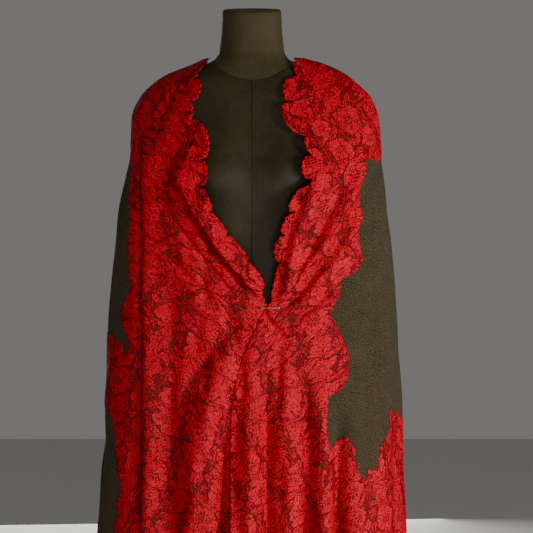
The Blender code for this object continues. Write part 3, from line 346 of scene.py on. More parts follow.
# Finer creases that the solids leave out
FINE_FOLDS = (
    Fold("sharp crease under the left roll", Front.LEFT, Profile.SQUARE, (
        FoldRow(1.165, -0.150, 0.000, 0.0045),
        FoldRow(1.125, -0.118, -0.0050, 0.0045),
        FoldRow(1.051, -0.068, -0.0070, 0.0045),
        FoldRow(0.990, -0.016, -0.0055, 0.0040),
        FoldRow(0.960, 0.010, 0.000, 0.0040),
    )),
    Fold("lip of the left roll", Front.LEFT, Profile.SOFT, (
        FoldRow(1.150, -0.118, 0.000, 0.007),
        FoldRow(1.120, -0.102, 0.0040, 0.007, -0.004),
        FoldRow(1.051, -0.055, 0.0050, 0.007, -0.005),
        FoldRow(0.990, -0.004, 0.0040, 0.006, -0.003),
        FoldRow(0.965, 0.016, 0.000, 0.006),
    )),
    Fold("tuck below the pin", Front.BOTH, Profile.SQUARE, (
        FoldRow(0.950, 0.025, 0.000, 0.0035),
        FoldRow(0.935, 0.027, -0.004, 0.0030),
        FoldRow(0.917, 0.039, -0.007, 0.0036),
        FoldRow(0.905, 0.052, -0.006, 0.0038),
        FoldRow(0.889, 0.063, -0.002, 0.0050),
        FoldRow(0.870, 0.070, 0.000, 0.0060),
    )),
    Fold("bright ridge below the pin", Front.BOTH, Profile.SOFT, (
        FoldRow(0.925, 0.022, 0.000, 0.012),
        FoldRow(0.870, 0.010, 0.002, 0.012),
        FoldRow(0.780, 0.006, 0.003, 0.013),
        FoldRow(0.640, 0.006, 0.003, 0.013),
        FoldRow(0.480, 0.006, 0.000, 0.013),
    )),
    Fold("soft valley right of the ridge", Front.BOTH, Profile.SOFT, (
        FoldRow(0.760, 0.028, 0.000, 0.008),
        FoldRow(0.700, 0.026, -0.0040, 0.008),
        FoldRow(0.560, 0.025, -0.0060, 0.009),
        FoldRow(0.400, 0.026, -0.0050, 0.009),
    )),
    Fold("left ridge of the lower fall", Front.LEFT, Profile.SOFT, (
        FoldRow(0.790, -0.076, 0.000, 0.009),
        FoldRow(0.735, -0.078, 0.0050, 0.010),
        FoldRow(0.640, -0.080, 0.0060, 0.010),
        FoldRow(0.480, -0.082, 0.0050, 0.011),
    )),
    Fold("drag line above the left roll", Front.LEFT, Profile.SOFT, (
        FoldRow(1.140, -0.178, 0.000, 0.006),
        FoldRow(1.100, -0.140, -0.0035, 0.006),
        FoldRow(1.040, -0.092, -0.0040, 0.006),
        FoldRow(0.985, -0.046, -0.0030, 0.005),
        FoldRow(0.950, -0.012, 0.000, 0.005),
    )),
    Fold("second drag line on the left", Front.LEFT, Profile.SOFT, (
        FoldRow(1.060, -0.172, 0.000, 0.009),
        FoldRow(1.015, -0.128, -0.0030, 0.009),
        FoldRow(0.960, -0.078, -0.0035, 0.008),
        FoldRow(0.920, -0.040, 0.000, 0.007),
    )),
    Fold("pinch left of the pin", Front.LEFT, Profile.SOFT, (
        FoldRow(0.968, -0.035, 0.000, 0.006),
        FoldRow(0.952, -0.015, -0.002, 0.006),
        FoldRow(0.938, 0.004, 0.000, 0.005),
    )),
    Fold("drop from the pin to the left", Front.LEFT, Profile.SOFT, (
        FoldRow(0.925, -0.020, 0.000, 0.010),
        FoldRow(0.880, -0.062, -0.002, 0.010),
        FoldRow(0.800, -0.118, -0.003, 0.012),
        FoldRow(0.700, -0.132, -0.002, 0.013),
        FoldRow(0.560, -0.128, 0.000, 0.014),
    )),
    Fold("small ridge left of the lap", Front.LEFT, Profile.SOFT, (
        FoldRow(0.800, -0.066, 0.000, 0.008),
        FoldRow(0.690, -0.070, 0.0035, 0.008),
        FoldRow(0.520, -0.072, 0.0045, 0.009),
        FoldRow(0.380, -0.070, 0.0030, 0.009),
    )),
    Fold("crease from the right bust", Front.RIGHT, Profile.SOFT, (
        FoldRow(1.180, 0.172, 0.000, 0.007),
        FoldRow(1.120, 0.146, -0.0035, 0.007),
        FoldRow(1.050, 0.110, -0.0045, 0.006),
        FoldRow(0.990, 0.078, -0.0025, 0.006),
        FoldRow(0.965, 0.062, 0.000, 0.005),
    )),
    Fold("low drag line on the right", Front.RIGHT, Profile.SOFT, (
        FoldRow(1.010, 0.178, 0.000, 0.009),
        FoldRow(0.970, 0.140, -0.0045, 0.009),
        FoldRow(0.930, 0.096, -0.0045, 0.008),
        FoldRow(0.905, 0.066, 0.000, 0.008),
    )),
    Fold("fall from the pin to the right", Front.RIGHT, Profile.SOFT, (
        FoldRow(0.925, 0.046, 0.000, 0.008),
        FoldRow(0.880, 0.052, -0.0035, 0.008),
        FoldRow(0.790, 0.050, -0.0040, 0.008),
        FoldRow(0.690, 0.048, 0.000, 0.008),
    )),
    Fold("soft dip in the right field", Front.RIGHT, Profile.SOFT, (
        FoldRow(0.990, 0.228, 0.000, 0.014),
        FoldRow(0.900, 0.214, -0.0050, 0.014),
        FoldRow(0.800, 0.210, -0.0060, 0.014),
        FoldRow(0.640, 0.214, 0.000, 0.012),
    )),
    Fold("shoulder crease on the left", Front.BOTH, Profile.SOFT, (
        FoldRow(1.378, -0.126, 0.000, 0.008),
        FoldRow(1.340, -0.150, -0.0035, 0.008),
        FoldRow(1.290, -0.170, -0.0045, 0.009),
        FoldRow(1.235, -0.176, 0.000, 0.010),
    )),
    Fold("second shoulder crease on the left", Front.BOTH, Profile.SOFT, (
        FoldRow(1.350, -0.178, 0.000, 0.007),
        FoldRow(1.310, -0.196, -0.0030, 0.007),
        FoldRow(1.260, -0.203, 0.000, 0.007),
    )),
    Fold("shoulder crease on the right", Front.BOTH, Profile.SOFT, (
        FoldRow(1.384, 0.120, 0.000, 0.009),
        FoldRow(1.345, 0.138, -0.0040, 0.009),
        FoldRow(1.285, 0.158, -0.0050, 0.009),
        FoldRow(1.220, 0.174, 0.000, 0.010),
    )),
    Fold("second shoulder crease on the right", Front.BOTH, Profile.SOFT, (
        FoldRow(1.352, 0.184, 0.000, 0.008),
        FoldRow(1.300, 0.203, -0.0040, 0.008),
        FoldRow(1.235, 0.214, 0.000, 0.009),
    )),
)
HANGING_FOLDS = (
    HangingFold(81, 79, -0.010, 4.0, 1.16),
    HangingFold(93, 91, 0.014, 6.5, 1.24),
    HangingFold(105, 103, -0.021, 6.0, 1.18),
    HangingFold(117, 116, 0.016, 6.5, 1.20),
    HangingFold(128, 129, -0.020, 6.0, 1.10),
    HangingFold(140, 141, 0.016, 7.0, 1.14),
    HangingFold(152, 153, -0.021, 6.5, 1.20),
    HangingFold(163, 164, 0.016, 6.0, 1.05),
    HangingFold(175, 174, -0.023, 6.5, 1.24),
    HangingFold(-174, -175, 0.019, 6.5, 1.12),
    HangingFold(-163, -163, -0.021, 6.5, 1.18),
    HangingFold(-152, -151, 0.017, 7.0, 1.08),
    HangingFold(-140, -139, -0.020, 6.0, 1.20),
    HangingFold(-128, -127, 0.017, 6.5, 1.14),
    HangingFold(-116, -115, -0.023, 6.0, 1.22),
    HangingFold(-103, -102, 0.016, 6.0, 1.24),
    HangingFold(-92, -92, -0.014, 4.5, 1.10),
    HangingFold(99, 97, 0.004, 2.2, 1.02),
    HangingFold(111, 110, -0.004, 2.4, 0.98),
    HangingFold(134, 136, 0.005, 2.6, 1.06),
    HangingFold(158, 157, -0.005, 2.4, 0.94),
    HangingFold(180, 180, 0.005, 2.6, 1.02),
    HangingFold(-157, -158, 0.004, 2.4, 0.98),
    HangingFold(-134, -133, -0.005, 2.6, 1.08),
    HangingFold(-110, -109, 0.005, 2.4, 1.00),
)
SWELLS = (
    Swell(11, 21.0, 0.4, 0.0011),
    Swell(17, -27.0, 2.1, 0.0009),
    Swell(29, 39.0, 1.2, 0.0006),
    Swell(41, -33.0, 4.0, 0.0004),
)
RIGHT_BORDER = (
    EdgeRow(1.250, 0.300), EdgeRow(1.240, 0.236), EdgeRow(1.228, 0.222), EdgeRow(1.214, 0.209),
    EdgeRow(1.191, 0.205), EdgeRow(1.165, 0.196), EdgeRow(1.142, 0.200), EdgeRow(1.111, 0.204),
    EdgeRow(1.084, 0.194), EdgeRow(1.060, 0.200), EdgeRow(1.033, 0.204), EdgeRow(1.015, 0.194),
    EdgeRow(1.004, 0.181), EdgeRow(0.997, 0.164), EdgeRow(0.973, 0.163), EdgeRow(0.951, 0.153),
    EdgeRow(0.933, 0.142), EdgeRow(0.909, 0.157), EdgeRow(0.878, 0.172), EdgeRow(0.851, 0.178),
    EdgeRow(0.824, 0.178), EdgeRow(0.800, 0.168), EdgeRow(0.789, 0.155), EdgeRow(0.782, 0.139),
    EdgeRow(0.719, 0.135), EdgeRow(0.688, 0.142),
)
LEFT_STRIP = (
    EdgeRow(1.262, -0.228), EdgeRow(1.200, -0.226), EdgeRow(1.160, -0.230), EdgeRow(1.110, -0.224),
    EdgeRow(1.060, -0.228), EdgeRow(1.010, -0.226), EdgeRow(0.985, -0.222), EdgeRow(0.965, -0.230),
    EdgeRow(0.945, -0.242), EdgeRow(0.925, -0.245), EdgeRow(0.905, -0.240), EdgeRow(0.885, -0.226),
    EdgeRow(0.865, -0.222), EdgeRow(0.820, -0.222),
)
LEFT_LOBE = (
    EdgeRow(0.900, -0.300), EdgeRow(0.765, -0.290), EdgeRow(0.745, -0.261), EdgeRow(0.706, -0.254),
    EdgeRow(0.650, -0.249), EdgeRow(0.606, -0.240), EdgeRow(0.579, -0.252), EdgeRow(0.560, -0.245),
    EdgeRow(0.540, -0.257), EdgeRow(0.360, -0.250),
)
LOBE_TOPS = (
    EdgeRow(0.893, -0.290), EdgeRow(0.892, -0.270), EdgeRow(0.884, -0.256), EdgeRow(0.873, -0.243),
    EdgeRow(0.850, -0.236), EdgeRow(0.864, -0.230), EdgeRow(0.884, -0.222), EdgeRow(0.895, -0.214),
)
HEM_BAND = (
    BandRow(-180, 0.600), BandRow(-135, 0.580), BandRow(-110, 0.545), BandRow(-90, 0.500),
    BandRow(0, 0.500), BandRow(44, 0.640), BandRow(46.8, 0.684), BandRow(50, 0.700),
    BandRow(54.7, 0.711), BandRow(56.8, 0.693), BandRow(58, 0.651), BandRow(60.8, 0.633),
    BandRow(62.6, 0.655), BandRow(67.2, 0.657), BandRow(69.2, 0.700), BandRow(75, 0.719),
    BandRow(76.3, 0.755), BandRow(90, 0.740), BandRow(105, 0.690), BandRow(135, 0.630),
    BandRow(180, 0.600),
)


class Lobe(NamedTuple):
    """A large scallop of a free edge: its top, its bottom and how far it stands past the wool."""

    top: float
    bottom: float
    reach: float


LEFT_LOBES = (
    Lobe(1.402, 1.368, 0.005), Lobe(1.366, 1.326, 0.016), Lobe(1.324, 1.292, 0.007),
    Lobe(1.290, 1.216, 0.021), Lobe(1.213, 1.167, 0.018), Lobe(1.164, 1.122, 0.011),
    Lobe(1.119, 1.080, 0.008), Lobe(1.077, 1.031, 0.010), Lobe(1.028, 0.980, 0.009),
)
RIGHT_LOBES = (
    Lobe(1.402, 1.376, 0.006), Lobe(1.373, 1.325, 0.015), Lobe(1.322, 1.261, 0.021),
    Lobe(1.257, 1.226, 0.008), Lobe(1.223, 1.180, 0.018), Lobe(1.166, 1.120, 0.017),
    Lobe(1.117, 1.078, 0.013), Lobe(1.076, 1.029, 0.016), Lobe(1.026, 0.962, 0.009),
)


def smooth_step(value: Array | float) -> Array | float:
    """Ease from 0 to 1 as the value does."""
    value = np.clip(value, 0.0, 1.0)
    return value * value * (3.0 - 2.0 * value)


def smooth_curve(places: Sequence[float], values: Sequence[float]) -> Curve:
    """Join points with a curve that never overshoots them.

    Args:
        places: Where the points are.
        values: What the curve is there.

    Returns:
        The curve.
    """
    order = np.argsort(places)
    place, value = np.array(places, float)[order], np.array(values, float)[order]
    step = np.diff(place)
    slope = np.diff(value) / step
    product, total = slope[1:] * slope[:-1], slope[1:] + slope[:-1]
    inner = np.where(product > 0, 2.0 * product / np.where(total == 0, 1.0, total), 0.0)
    tangent = np.concatenate(([slope[0]], inner, [slope[-1]]))

    def curve(at: Array) -> Array:
        """Read the curve."""
        at = np.clip(at, place[0], place[-1])
        index = np.clip(np.searchsorted(place, at) - 1, 0, len(step) - 1)
        share = (at - place[index]) / step[index]
        square, cube = share * share, share * share * share
        return (
            value[index] * (2 * cube - 3 * square + 1)
            + value[index + 1] * (3 * square - 2 * cube)
            + step[index] * tangent[index] * (cube - 2 * square + share)
            + step[index] * tangent[index + 1] * (cube - square)
        )

    return curve


def column_curve(rows: Sequence[NamedTuple], place: str, value: str) -> Curve:
    """Put a smooth curve through one column of a table."""
    return smooth_curve([getattr(row, place) for row in rows], [getattr(row, value) for row in rows])


def table_value(rows: Sequence[NamedTuple], place: str, value: str, at: Array) -> Array:
    """Read a table along straight lines."""
    ordered = sorted(rows, key=lambda row: getattr(row, place))
    places = [getattr(row, place) for row in ordered]
    return np.interp(at, places, [getattr(row, value) for row in ordered])


@dataclass
class Drape:
    """The faces of the dress form and of the cloth that hangs on it."""

    clearance: float = 0.0042
    blend: float = 0.004
    neckline: float = 1.408
    hem: float = 0.380
    form_roundness: float = 2.25
    bust_height: float = 1.190
    bust_bearing: float = math.radians(33)
    bust_rise: float = 0.019
    bust_spread: float = math.radians(19)
    bust_tall: float = 0.052
    lap_drop_before: float = 0.0013
    lap_before_from: float = 0.022
    lap_before_over: float = 0.016
    lap_drop_under: float = 0.0023
    lap_under_from: float = 0.001
    lap_under_over: float = 0.010
    lap_top: float = 1.000
    lap_top_fade: float = 0.045
    front_fade: float = 6.0
    split: float = math.radians(134)
    folds: tuple[Fold, ...] = MAIN_FOLDS + FINE_FOLDS
    hanging_folds: tuple[HangingFold, ...] = HANGING_FOLDS
    swells: tuple[Swell, ...] = SWELLS

    def __post_init__(self) -> None:
        """Turn the tables into curves."""
        names = Section._fields[1:]
        self.cloth = {name: column_curve(DRAPE_SECTIONS, "height", name) for name in names}
        names = FormSection._fields[1:]
        self.form = {name: column_curve(FORM_SECTIONS, "height", name) for name in names}
        self.edges = {
            Front.LEFT: column_curve(LEFT_EDGE, "height", "x"),
            Front.RIGHT: column_curve(RIGHT_EDGE, "height", "x"),
        }

    def rounded(self, bearing: Array, side: Array, front: Array, back: Array, power: Array) -> Array:
        """Radius of a rounded section.

        Args:
            bearing: Bearings in radians.
            side: Half width.
            front: Depth ahead of the axis.
            back: Depth behind it.
            power: How square the section is, 2 for an ellipse.

        Returns:
            The radius at each bearing.
        """
        across = np.abs(np.sin(bearing)) / side
        along = np.abs(np.cos(bearing)) / np.where(np.cos(bearing) > 0, front, back)
        return (across**power + along**power) ** (-1.0 / power)

    def form_radius(self, bearing: Array, height: Array) -> Array:
        """Radius of the dress form, with its bust."""
        depths = [self.form[name](height) for name in ("side", "front", "back")]
        plain = self.rounded(bearing, *depths, self.form_roundness)
        wrapped = np.abs(np.arctan2(np.sin(bearing), np.cos(bearing)))
        aside = (wrapped - self.bust_bearing) / self.bust_spread
        above = (height - self.bust_height) / self.bust_tall
        return plain + self.bust_rise * np.exp(-aside * aside - above * above)

    def larger(self, first: Array, second: Array) -> Array:
        """The larger of two lengths, blended where they are close."""
        apart = first - second
        return 0.5 * (first + second + np.sqrt(apart**2 + self.blend**2)) - 0.25 * self.blend

    def cloth_radius(self, bearing: Array, height: Array) -> Array:
        """Radius of the cloth before its folds."""
        left = np.sin(bearing) < 0
        side = np.where(left, self.cloth["left"](height), self.cloth["right"](height))
        depths = [self.cloth[name](height) for name in ("front", "back", "roundness")]
        plain = self.rounded(bearing, side, *depths)
        return self.larger(plain, self.form_radius(bearing, height) + self.clearance)

    def relief(self, bearing: Array, height: Array, x: Array, front: Front) -> tuple[Array, Array]:
        """Rise and lean that the folds add.

        Args:
            bearing: Bearings in radians.
            height: Heights.
            x: The cloth's x before its folds.
            front: Which front the cloth is.

        Returns:
            How far the cloth stands out, and how far it leans along itself.
        """
        rise, lean = np.zeros_like(x), np.zeros_like(x)
        ahead = smooth_step(np.cos(bearing) * self.front_fade)
        for fold in self.folds:
            if fold.front not in (Front.BOTH, front):
                continue
            line, size, width, slant = (
                table_value(fold.rows, "height", name, height)
                for name in ("x", "rise", "width", "lean")
            )
            apart = (x - line) / width
            felt = np.exp(-apart * apart)
            if fold.profile is Profile.SQUARE:
                felt = 1.0 / (1.0 + apart**4)
            rise += size * felt * ahead
            lean += slant * felt * ahead
        for fold in self.hanging_folds:
            share = smooth_step((fold.start - height) / (fold.start - self.hem))
            line = np.radians(fold.top_bearing + (fold.hem_bearing - fold.top_bearing) * share)
            apart = np.arctan2(np.sin(bearing - line), np.cos(bearing - line))
            rise += fold.rise * share * np.exp(-((apart / math.radians(fold.width)) ** 2))
        for swell in self.swells:
            wave = swell.round * bearing + swell.down * height + swell.phase
            rise += swell.rise * np.sin(wave + 0.9 * np.sin(9.0 * height + 3.0 * bearing))
        return rise, lean

    def lap_drop(self, x: Array, height: Array) -> Array:
        """How far the left front lies under the right one."""
        inside = x - table_value(RIGHT_EDGE, "height", "x", height)
        before = self.lap_drop_before * smooth_step((inside + self.lap_before_from) / self.lap_before_over)
        under = self.lap_drop_under * smooth_step((inside + self.lap_under_from) / self.lap_under_over)
        return (before + under) * smooth_step((self.lap_top - height) / self.lap_top_fade)

    def surface(self, bearing: Array, height: Array, front: Front) -> Array:
        """Outer face of the wool.

        Args:
            bearing: Bearings in radians.
            height: Heights.
            front: Which front the cloth is.

        Returns:
            The points, one a row.
        """
        radius, small = self.cloth_radius(bearing, height), 0.001
        ahead = self.cloth_radius(bearing + small, height)
        slope = (ahead - self.cloth_radius(bearing - small, height)) / (2 * small)
        x, y = radius * np.sin(bearing), -radius * np.cos(bearing)
        along_x = slope * np.sin(bearing) + radius * np.cos(bearing)
        along_y = -slope * np.cos(bearing) + radius * np.sin(bearing)
        size = np.hypot(along_x, along_y)
        along_x, along_y = along_x / size, along_y / size
        rise, lean = self.relief(bearing, height, x, front)
        if front is Front.LEFT:
            rise = rise - self.lap_drop(x, height) * smooth_step(np.cos(bearing) * self.front_fade)
        x, y = x + along_y * rise + along_x * lean, y - along_x * rise + along_y * lean
        bare = np.hypot(x, y)
        clear = self.form_radius(np.arctan2(x, -y), height) + self.clearance
        kept = self.larger(bare, clear)
        return np.stack([x * kept / bare, y * kept / bare, height + 0.0 * x], axis=-1)

    def outward(self, bearing: Array, height: Array, front: Front) -> Array:
        """Unit normals of the cloth."""
        turn, lift = 0.003, 0.002
        across = self.surface(bearing + turn, height, front)
        across = across - self.surface(bearing - turn, height, front)
        up = self.surface(bearing, height + lift, front) - self.surface(bearing, height - lift, front)
        normal = np.cross(across, up)
        return normal / np.linalg.norm(normal, axis=-1, keepdims=True)

    def row_height(self, nominal: Array, bearing: Array) -> Array:
        """Height of a row, which dips behind the neck and is uneven at the hem."""
        wrapped = np.arctan2(np.sin(bearing), np.cos(bearing))
        behind = smooth_step((np.abs(wrapped) - math.radians(95)) / math.radians(60))
        near_neck = smooth_step((nominal - 1.300) / (self.neckline - 1.300))
        near_hem = smooth_step((0.950 - nominal) / (0.950 - self.hem))
        wave = 0.012 * np.sin(2.0 * wrapped + 0.6) - 0.010 * np.cos(wrapped)
        return nominal - 0.020 * behind * near_neck + wave * near_hem

    def bearing_of_x(self, x: float, height: float, side: int) -> float:
        """Bearing where the front of the cloth has this x. Side is -1 on the viewer's left."""
        tries = np.linspace(math.radians(-20), math.radians(89), 160)
        out = self.cloth_radius(side * tries, np.full_like(tries, height)) * np.sin(tries)
        return side * float(np.interp(side * x, np.maximum.accumulate(out), tries))

    def edge_bearing(self, height: float, front: Front) -> float:
        """Bearing of a front's free edge."""
        side = -1 if front is Front.LEFT else 1
        reach = 0.97 * float(self.cloth["left" if side < 0 else "right"](height))
        x = float(np.clip(self.edges[front](height), -reach, reach))
        return self.bearing_of_x(x, height, side)


@dataclass
class LaceLayout:
    """Where the lace lies on the wool. Each value is above nought inside, in metres."""

    drape: Drape
    neck_band: float = 1.215
    left_neck_rise: float = 0.025
    band_wave: float = 0.012
    band_waves: int = 14
    strip_before_gap: float = 0.002
    lobe_middle: float = 0.828
    lobe_half: float = 0.066
    lobe_side: float = math.radians(-86)
    lobe_round: float = math.radians(14)
    scallop_pitch: float = 0.0115
    scallop_least: float = 0.0015
    scallop_most: float = 0.0050
    inner_scallop: float = 0.0052
    inner_pitch: float = 0.0135

    def scallop(self, along: Array, pitch: float) -> Array:
        """Round scallops with sharp notches, from 0 to 1, uneven in length."""
        uneven = along + 0.25 * pitch * np.sin(along * 31.0) + 0.15 * pitch * np.sin(along * 73.0 + 1.0)
        return np.abs(np.sin(math.pi * uneven / pitch)) ** 0.7

    def lobe_reach(self, nominal: Array, front: Front) -> Array:
        """How far the large scallops of a free edge stand past the wool."""
        reach = np.zeros_like(nominal)
        for lobe in LEFT_LOBES if front is Front.LEFT else RIGHT_LOBES:
            share = np.clip((lobe.top - nominal) / (lobe.top - lobe.bottom), 0.0, 1.0)
            reach += lobe.reach * np.sqrt(np.sqrt(4.0 * share * (1.0 - share)))
        return reach

    def neck(self, bearing: Array, height: Array) -> Array:
        """The lace round the neck and shoulders."""
        wave = self.band_wave * np.abs(np.sin(bearing * self.band_waves / 2))
        return height - self.neck_band - wave

    def hem(self, bearing: Array, height: Array) -> Array:
        """The lace along the hem."""
        wrapped = np.arctan2(np.sin(bearing), np.cos(bearing))
        wave = self.band_wave * np.abs(np.sin(bearing * self.band_waves / 2))
        return table_value(HEM_BAND, "bearing", "height", np.degrees(wrapped)) - wave - height

    def left(self, bearing: Array, height: Array, x: Array) -> Array:
        """All the lace on the left front and side, a full front with a ragged strip past the gap."""
        gap = table_value(GAP_LINE, "height", "x", height)
        strip = x - table_value(LEFT_STRIP, "height", "x", height)
        top = table_value(LOBE_TOPS, "x", "height", x)
        lobe = np.minimum(x - table_value(LEFT_LOBE, "height", "x", height), top - height)
        share = np.clip((height - self.lobe_middle) / self.lobe_half, -1.0, 1.0)
        back = self.lobe_side - self.lobe_round * np.sqrt(1.0 - share**2)
        lobe = np.minimum(lobe, (bearing - back) * 0.25)
        front = np.where(np.cos(bearing) > 0, np.maximum(x - gap + self.strip_before_gap, strip), -1.0)
        rise = self.left_neck_rise * smooth_step((bearing + math.radians(135)) / math.radians(30))
        neck = self.neck(bearing, height) - rise
        return np.max((front, neck, lobe, self.hem(bearing, height)), axis=0)

    def right(self, bearing: Array, height: Array, x: Array) -> Array:
        """All the lace on the right front and side."""
        border = table_value(RIGHT_BORDER, "height", "x", height) - x
        border = np.where(np.cos(bearing) > 0, border, -1.0)
        return np.max((self.neck(bearing, height), border, self.hem(bearing, height)), axis=0)

    def covered(self, bearing: Array, nominal: Array, front: Front, edged: bool) -> Array:
        """How far inside the lace's outline a place is.

        Args:
            bearing: Bearings in radians.
            nominal: Heights before the neckline's dip and the hem's wave.
            front: Which front the lace lies on.
            edged: Whether the piece has the front's free edge.

        Returns:
            The distance to the outline, above nought inside.
        """
        height = self.drape.row_height(nominal, bearing)
        radius = self.drape.cloth_radius(bearing, height)
        x = radius * np.sin(bearing)
        band = self.left if front is Front.LEFT else self.right
        inner = self.inner_scallop * (self.scallop(height + 0.6 * radius * bearing, self.inner_pitch) - 0.5)
        inside = band(bearing, height, x) + inner
        spread = self.scallop_most - self.scallop_least
        above = self.scallop(radius * bearing, self.scallop_pitch)
        neck = self.drape.neckline - nominal + 0.6 * (self.scallop_least + spread * above)
        below = self.scallop(radius * bearing + 0.4, self.scallop_pitch)
        hem = nominal - self.drape.hem + self.scallop_least + spread * below
        inside = np.min((inside, neck, hem), axis=0)
        if edged:
            levels = np.linspace(self.drape.hem - 0.02, self.drape.neckline + 0.02, 240)
            lines = [self.drape.edge_bearing(level, front) for level in levels]
            line = np.interp(nominal, levels, lines)
            side = -1 if front is Front.LEFT else 1
            reach = self.scallop_least + spread * self.scallop(nominal, self.scallop_pitch)
            reach = reach + self.lobe_reach(nominal, front)
            inside = np.minimum(inside, side * (bearing - line) * radius + reach)
        return inside


@dataclass
class ClothGrid:
    """A grid of cloth between two lines of bearing and two rows."""

    drape: Drape
    front: Front
    start: Callable[[float], float]
    end: Callable[[float], float]
    top: float
    bottom: float
    columns: int
    rows: int
    outline: Callable[[Array, Array], Array] | None = None
    snap_within: float = 0.006
    longest_step: float = 0.0025

    def __post_init__(self) -> None:
        """Read the two side lines once."""
        self.levels = np.linspace(0.0, 1.0, 240)
        nominal = self.top + (self.bottom - self.top) * self.levels
        self.starts = np.array([self.start(float(level)) for level in nominal])
        self.ends = np.array([self.end(float(level)) for level in nominal])

    def place(self, shares: Array) -> tuple[Array, Array]:
        """Bearing and nominal height of shares across and down."""
        across, down = shares[:, 0], shares[:, 1]
        start = np.interp(down, self.levels, self.starts)
        end = np.interp(down, self.levels, self.ends)
        return start + (end - start) * across, self.top + (self.bottom - self.top) * down

    def points(self, shares: Array, lift: float) -> Array:
        """Points of the cloth, lifted off the wool's outer face."""
        bearing, nominal = self.place(shares)
        height = self.drape.row_height(nominal, bearing)
        points = self.drape.surface(bearing, height, self.front)
        if lift:
            points = points + lift * self.drape.outward(bearing, height, self.front)
        return points

    def cloth_places(self) -> Array:
        """Lengths across and down the cloth at each crossing of the grid, in metres."""
        down, across = np.meshgrid(
            np.linspace(0, 1, self.rows + 1), np.linspace(0, 1, self.columns + 1), indexing="ij"
        )
        shares = np.stack([across.ravel(), down.ravel()], axis=-1)
        points = self.points(shares, 0.0).reshape(self.rows + 1, self.columns + 1, 3)
        over = np.linalg.norm(np.diff(points, axis=1), axis=-1).cumsum(axis=1)
        fall = np.linalg.norm(np.diff(points, axis=0), axis=-1).cumsum(axis=0)
        over = np.pad(over, ((0, 0), (1, 0)))
        fall = np.pad(fall, ((1, 0), (0, 0)))
        return np.stack([over, fall], axis=-1)

    def snapped(self, shares: Array) -> Array:
        """Move places on the rim of the kept faces onto the outline.

        Args:
            shares: Places of the rim.

        Returns:
            The places after a few short steps.
        """
        size = np.array([0.42, abs(self.top - self.bottom)])
        small = 0.0006 / size
        for _ in range(4):
            value = self.outline(*self.place(shares))
            change = [
                (self.outline(*self.place(shares + axis)) - value) / 0.0006
                for axis in (np.array([small[0], 0.0]), np.array([0.0, small[1]]))
            ]
            slope = np.stack(change, axis=-1)
            steep = np.maximum(np.sum(slope**2, axis=-1), 0.05)
            step = -(value / steep)[:, None] * slope
            long = np.linalg.norm(step, axis=-1, keepdims=True)
            step *= np.minimum(1.0, self.longest_step / np.maximum(long, 1e-9))
            step[np.abs(value) > self.snap_within] = 0.0
            shares = np.clip(shares + step / size, 0.0, 1.0)
        return shares

    def mesh(self, name: str, lift: float) -> bpy.types.Mesh:
        """Build the cloth's one face.

        Args:
            name: The mesh's name.
            lift: How far it stands off the wool's outer face.

        Returns:
            The mesh, with lengths of cloth as its UV map and the distance to its outline.
        """
        sheet = bmesh.new()
        bmesh.ops.create_grid(sheet, x_segments=self.columns, y_segments=self.rows, size=0.5)
        if self.outline:
            middles = np.array([face.calc_center_median().xy for face in sheet.faces]) + 0.5
            kept = self.outline(*self.place(middles)) > 0
            lost = [face for face, keep in zip(sheet.faces, kept) if not keep]
            bmesh.ops.delete(sheet, geom=lost, context="FACES")
        shares = np.array([vert.co.xy for vert in sheet.verts]) + 0.5
        crossing = np.rint(shares * [self.columns, self.rows]).astype(int)
        lengths = self.cloth_places()[crossing[:, 1], crossing[:, 0]]
        if self.outline:
            rim = np.array([vert.is_boundary for vert in sheet.verts])
            shares[rim] = self.snapped(shares[rim])
        for vert, point in zip(sheet.verts, self.points(shares, lift)):
            vert.co = point
        sheet.normal_update()
        facing = sum(face.normal.xy.dot(face.calc_center_median().xy) for face in list(sheet.faces)[::50])
        if facing < 0:
            bmesh.ops.reverse_faces(sheet, faces=list(sheet.faces))
        data = bpy.data.meshes.new(name)
        sheet.to_mesh(data)
        sheet.free()
        corners = np.empty(len(data.loops), int)
        data.loops.foreach_get("vertex_index", corners)
        data.uv_layers.new(name="cloth").uv.foreach_set("vector", lengths[corners].ravel())
        distance = np.full(len(shares), 1.0)
        if self.outline:
            distance = self.outline(*self.place(shares))
        rim_field = data.attributes.new("rim", "FLOAT", "POINT")
        rim_field.data.foreach_set("value", distance.astype(np.float32))
        data.shade_smooth()
        return data


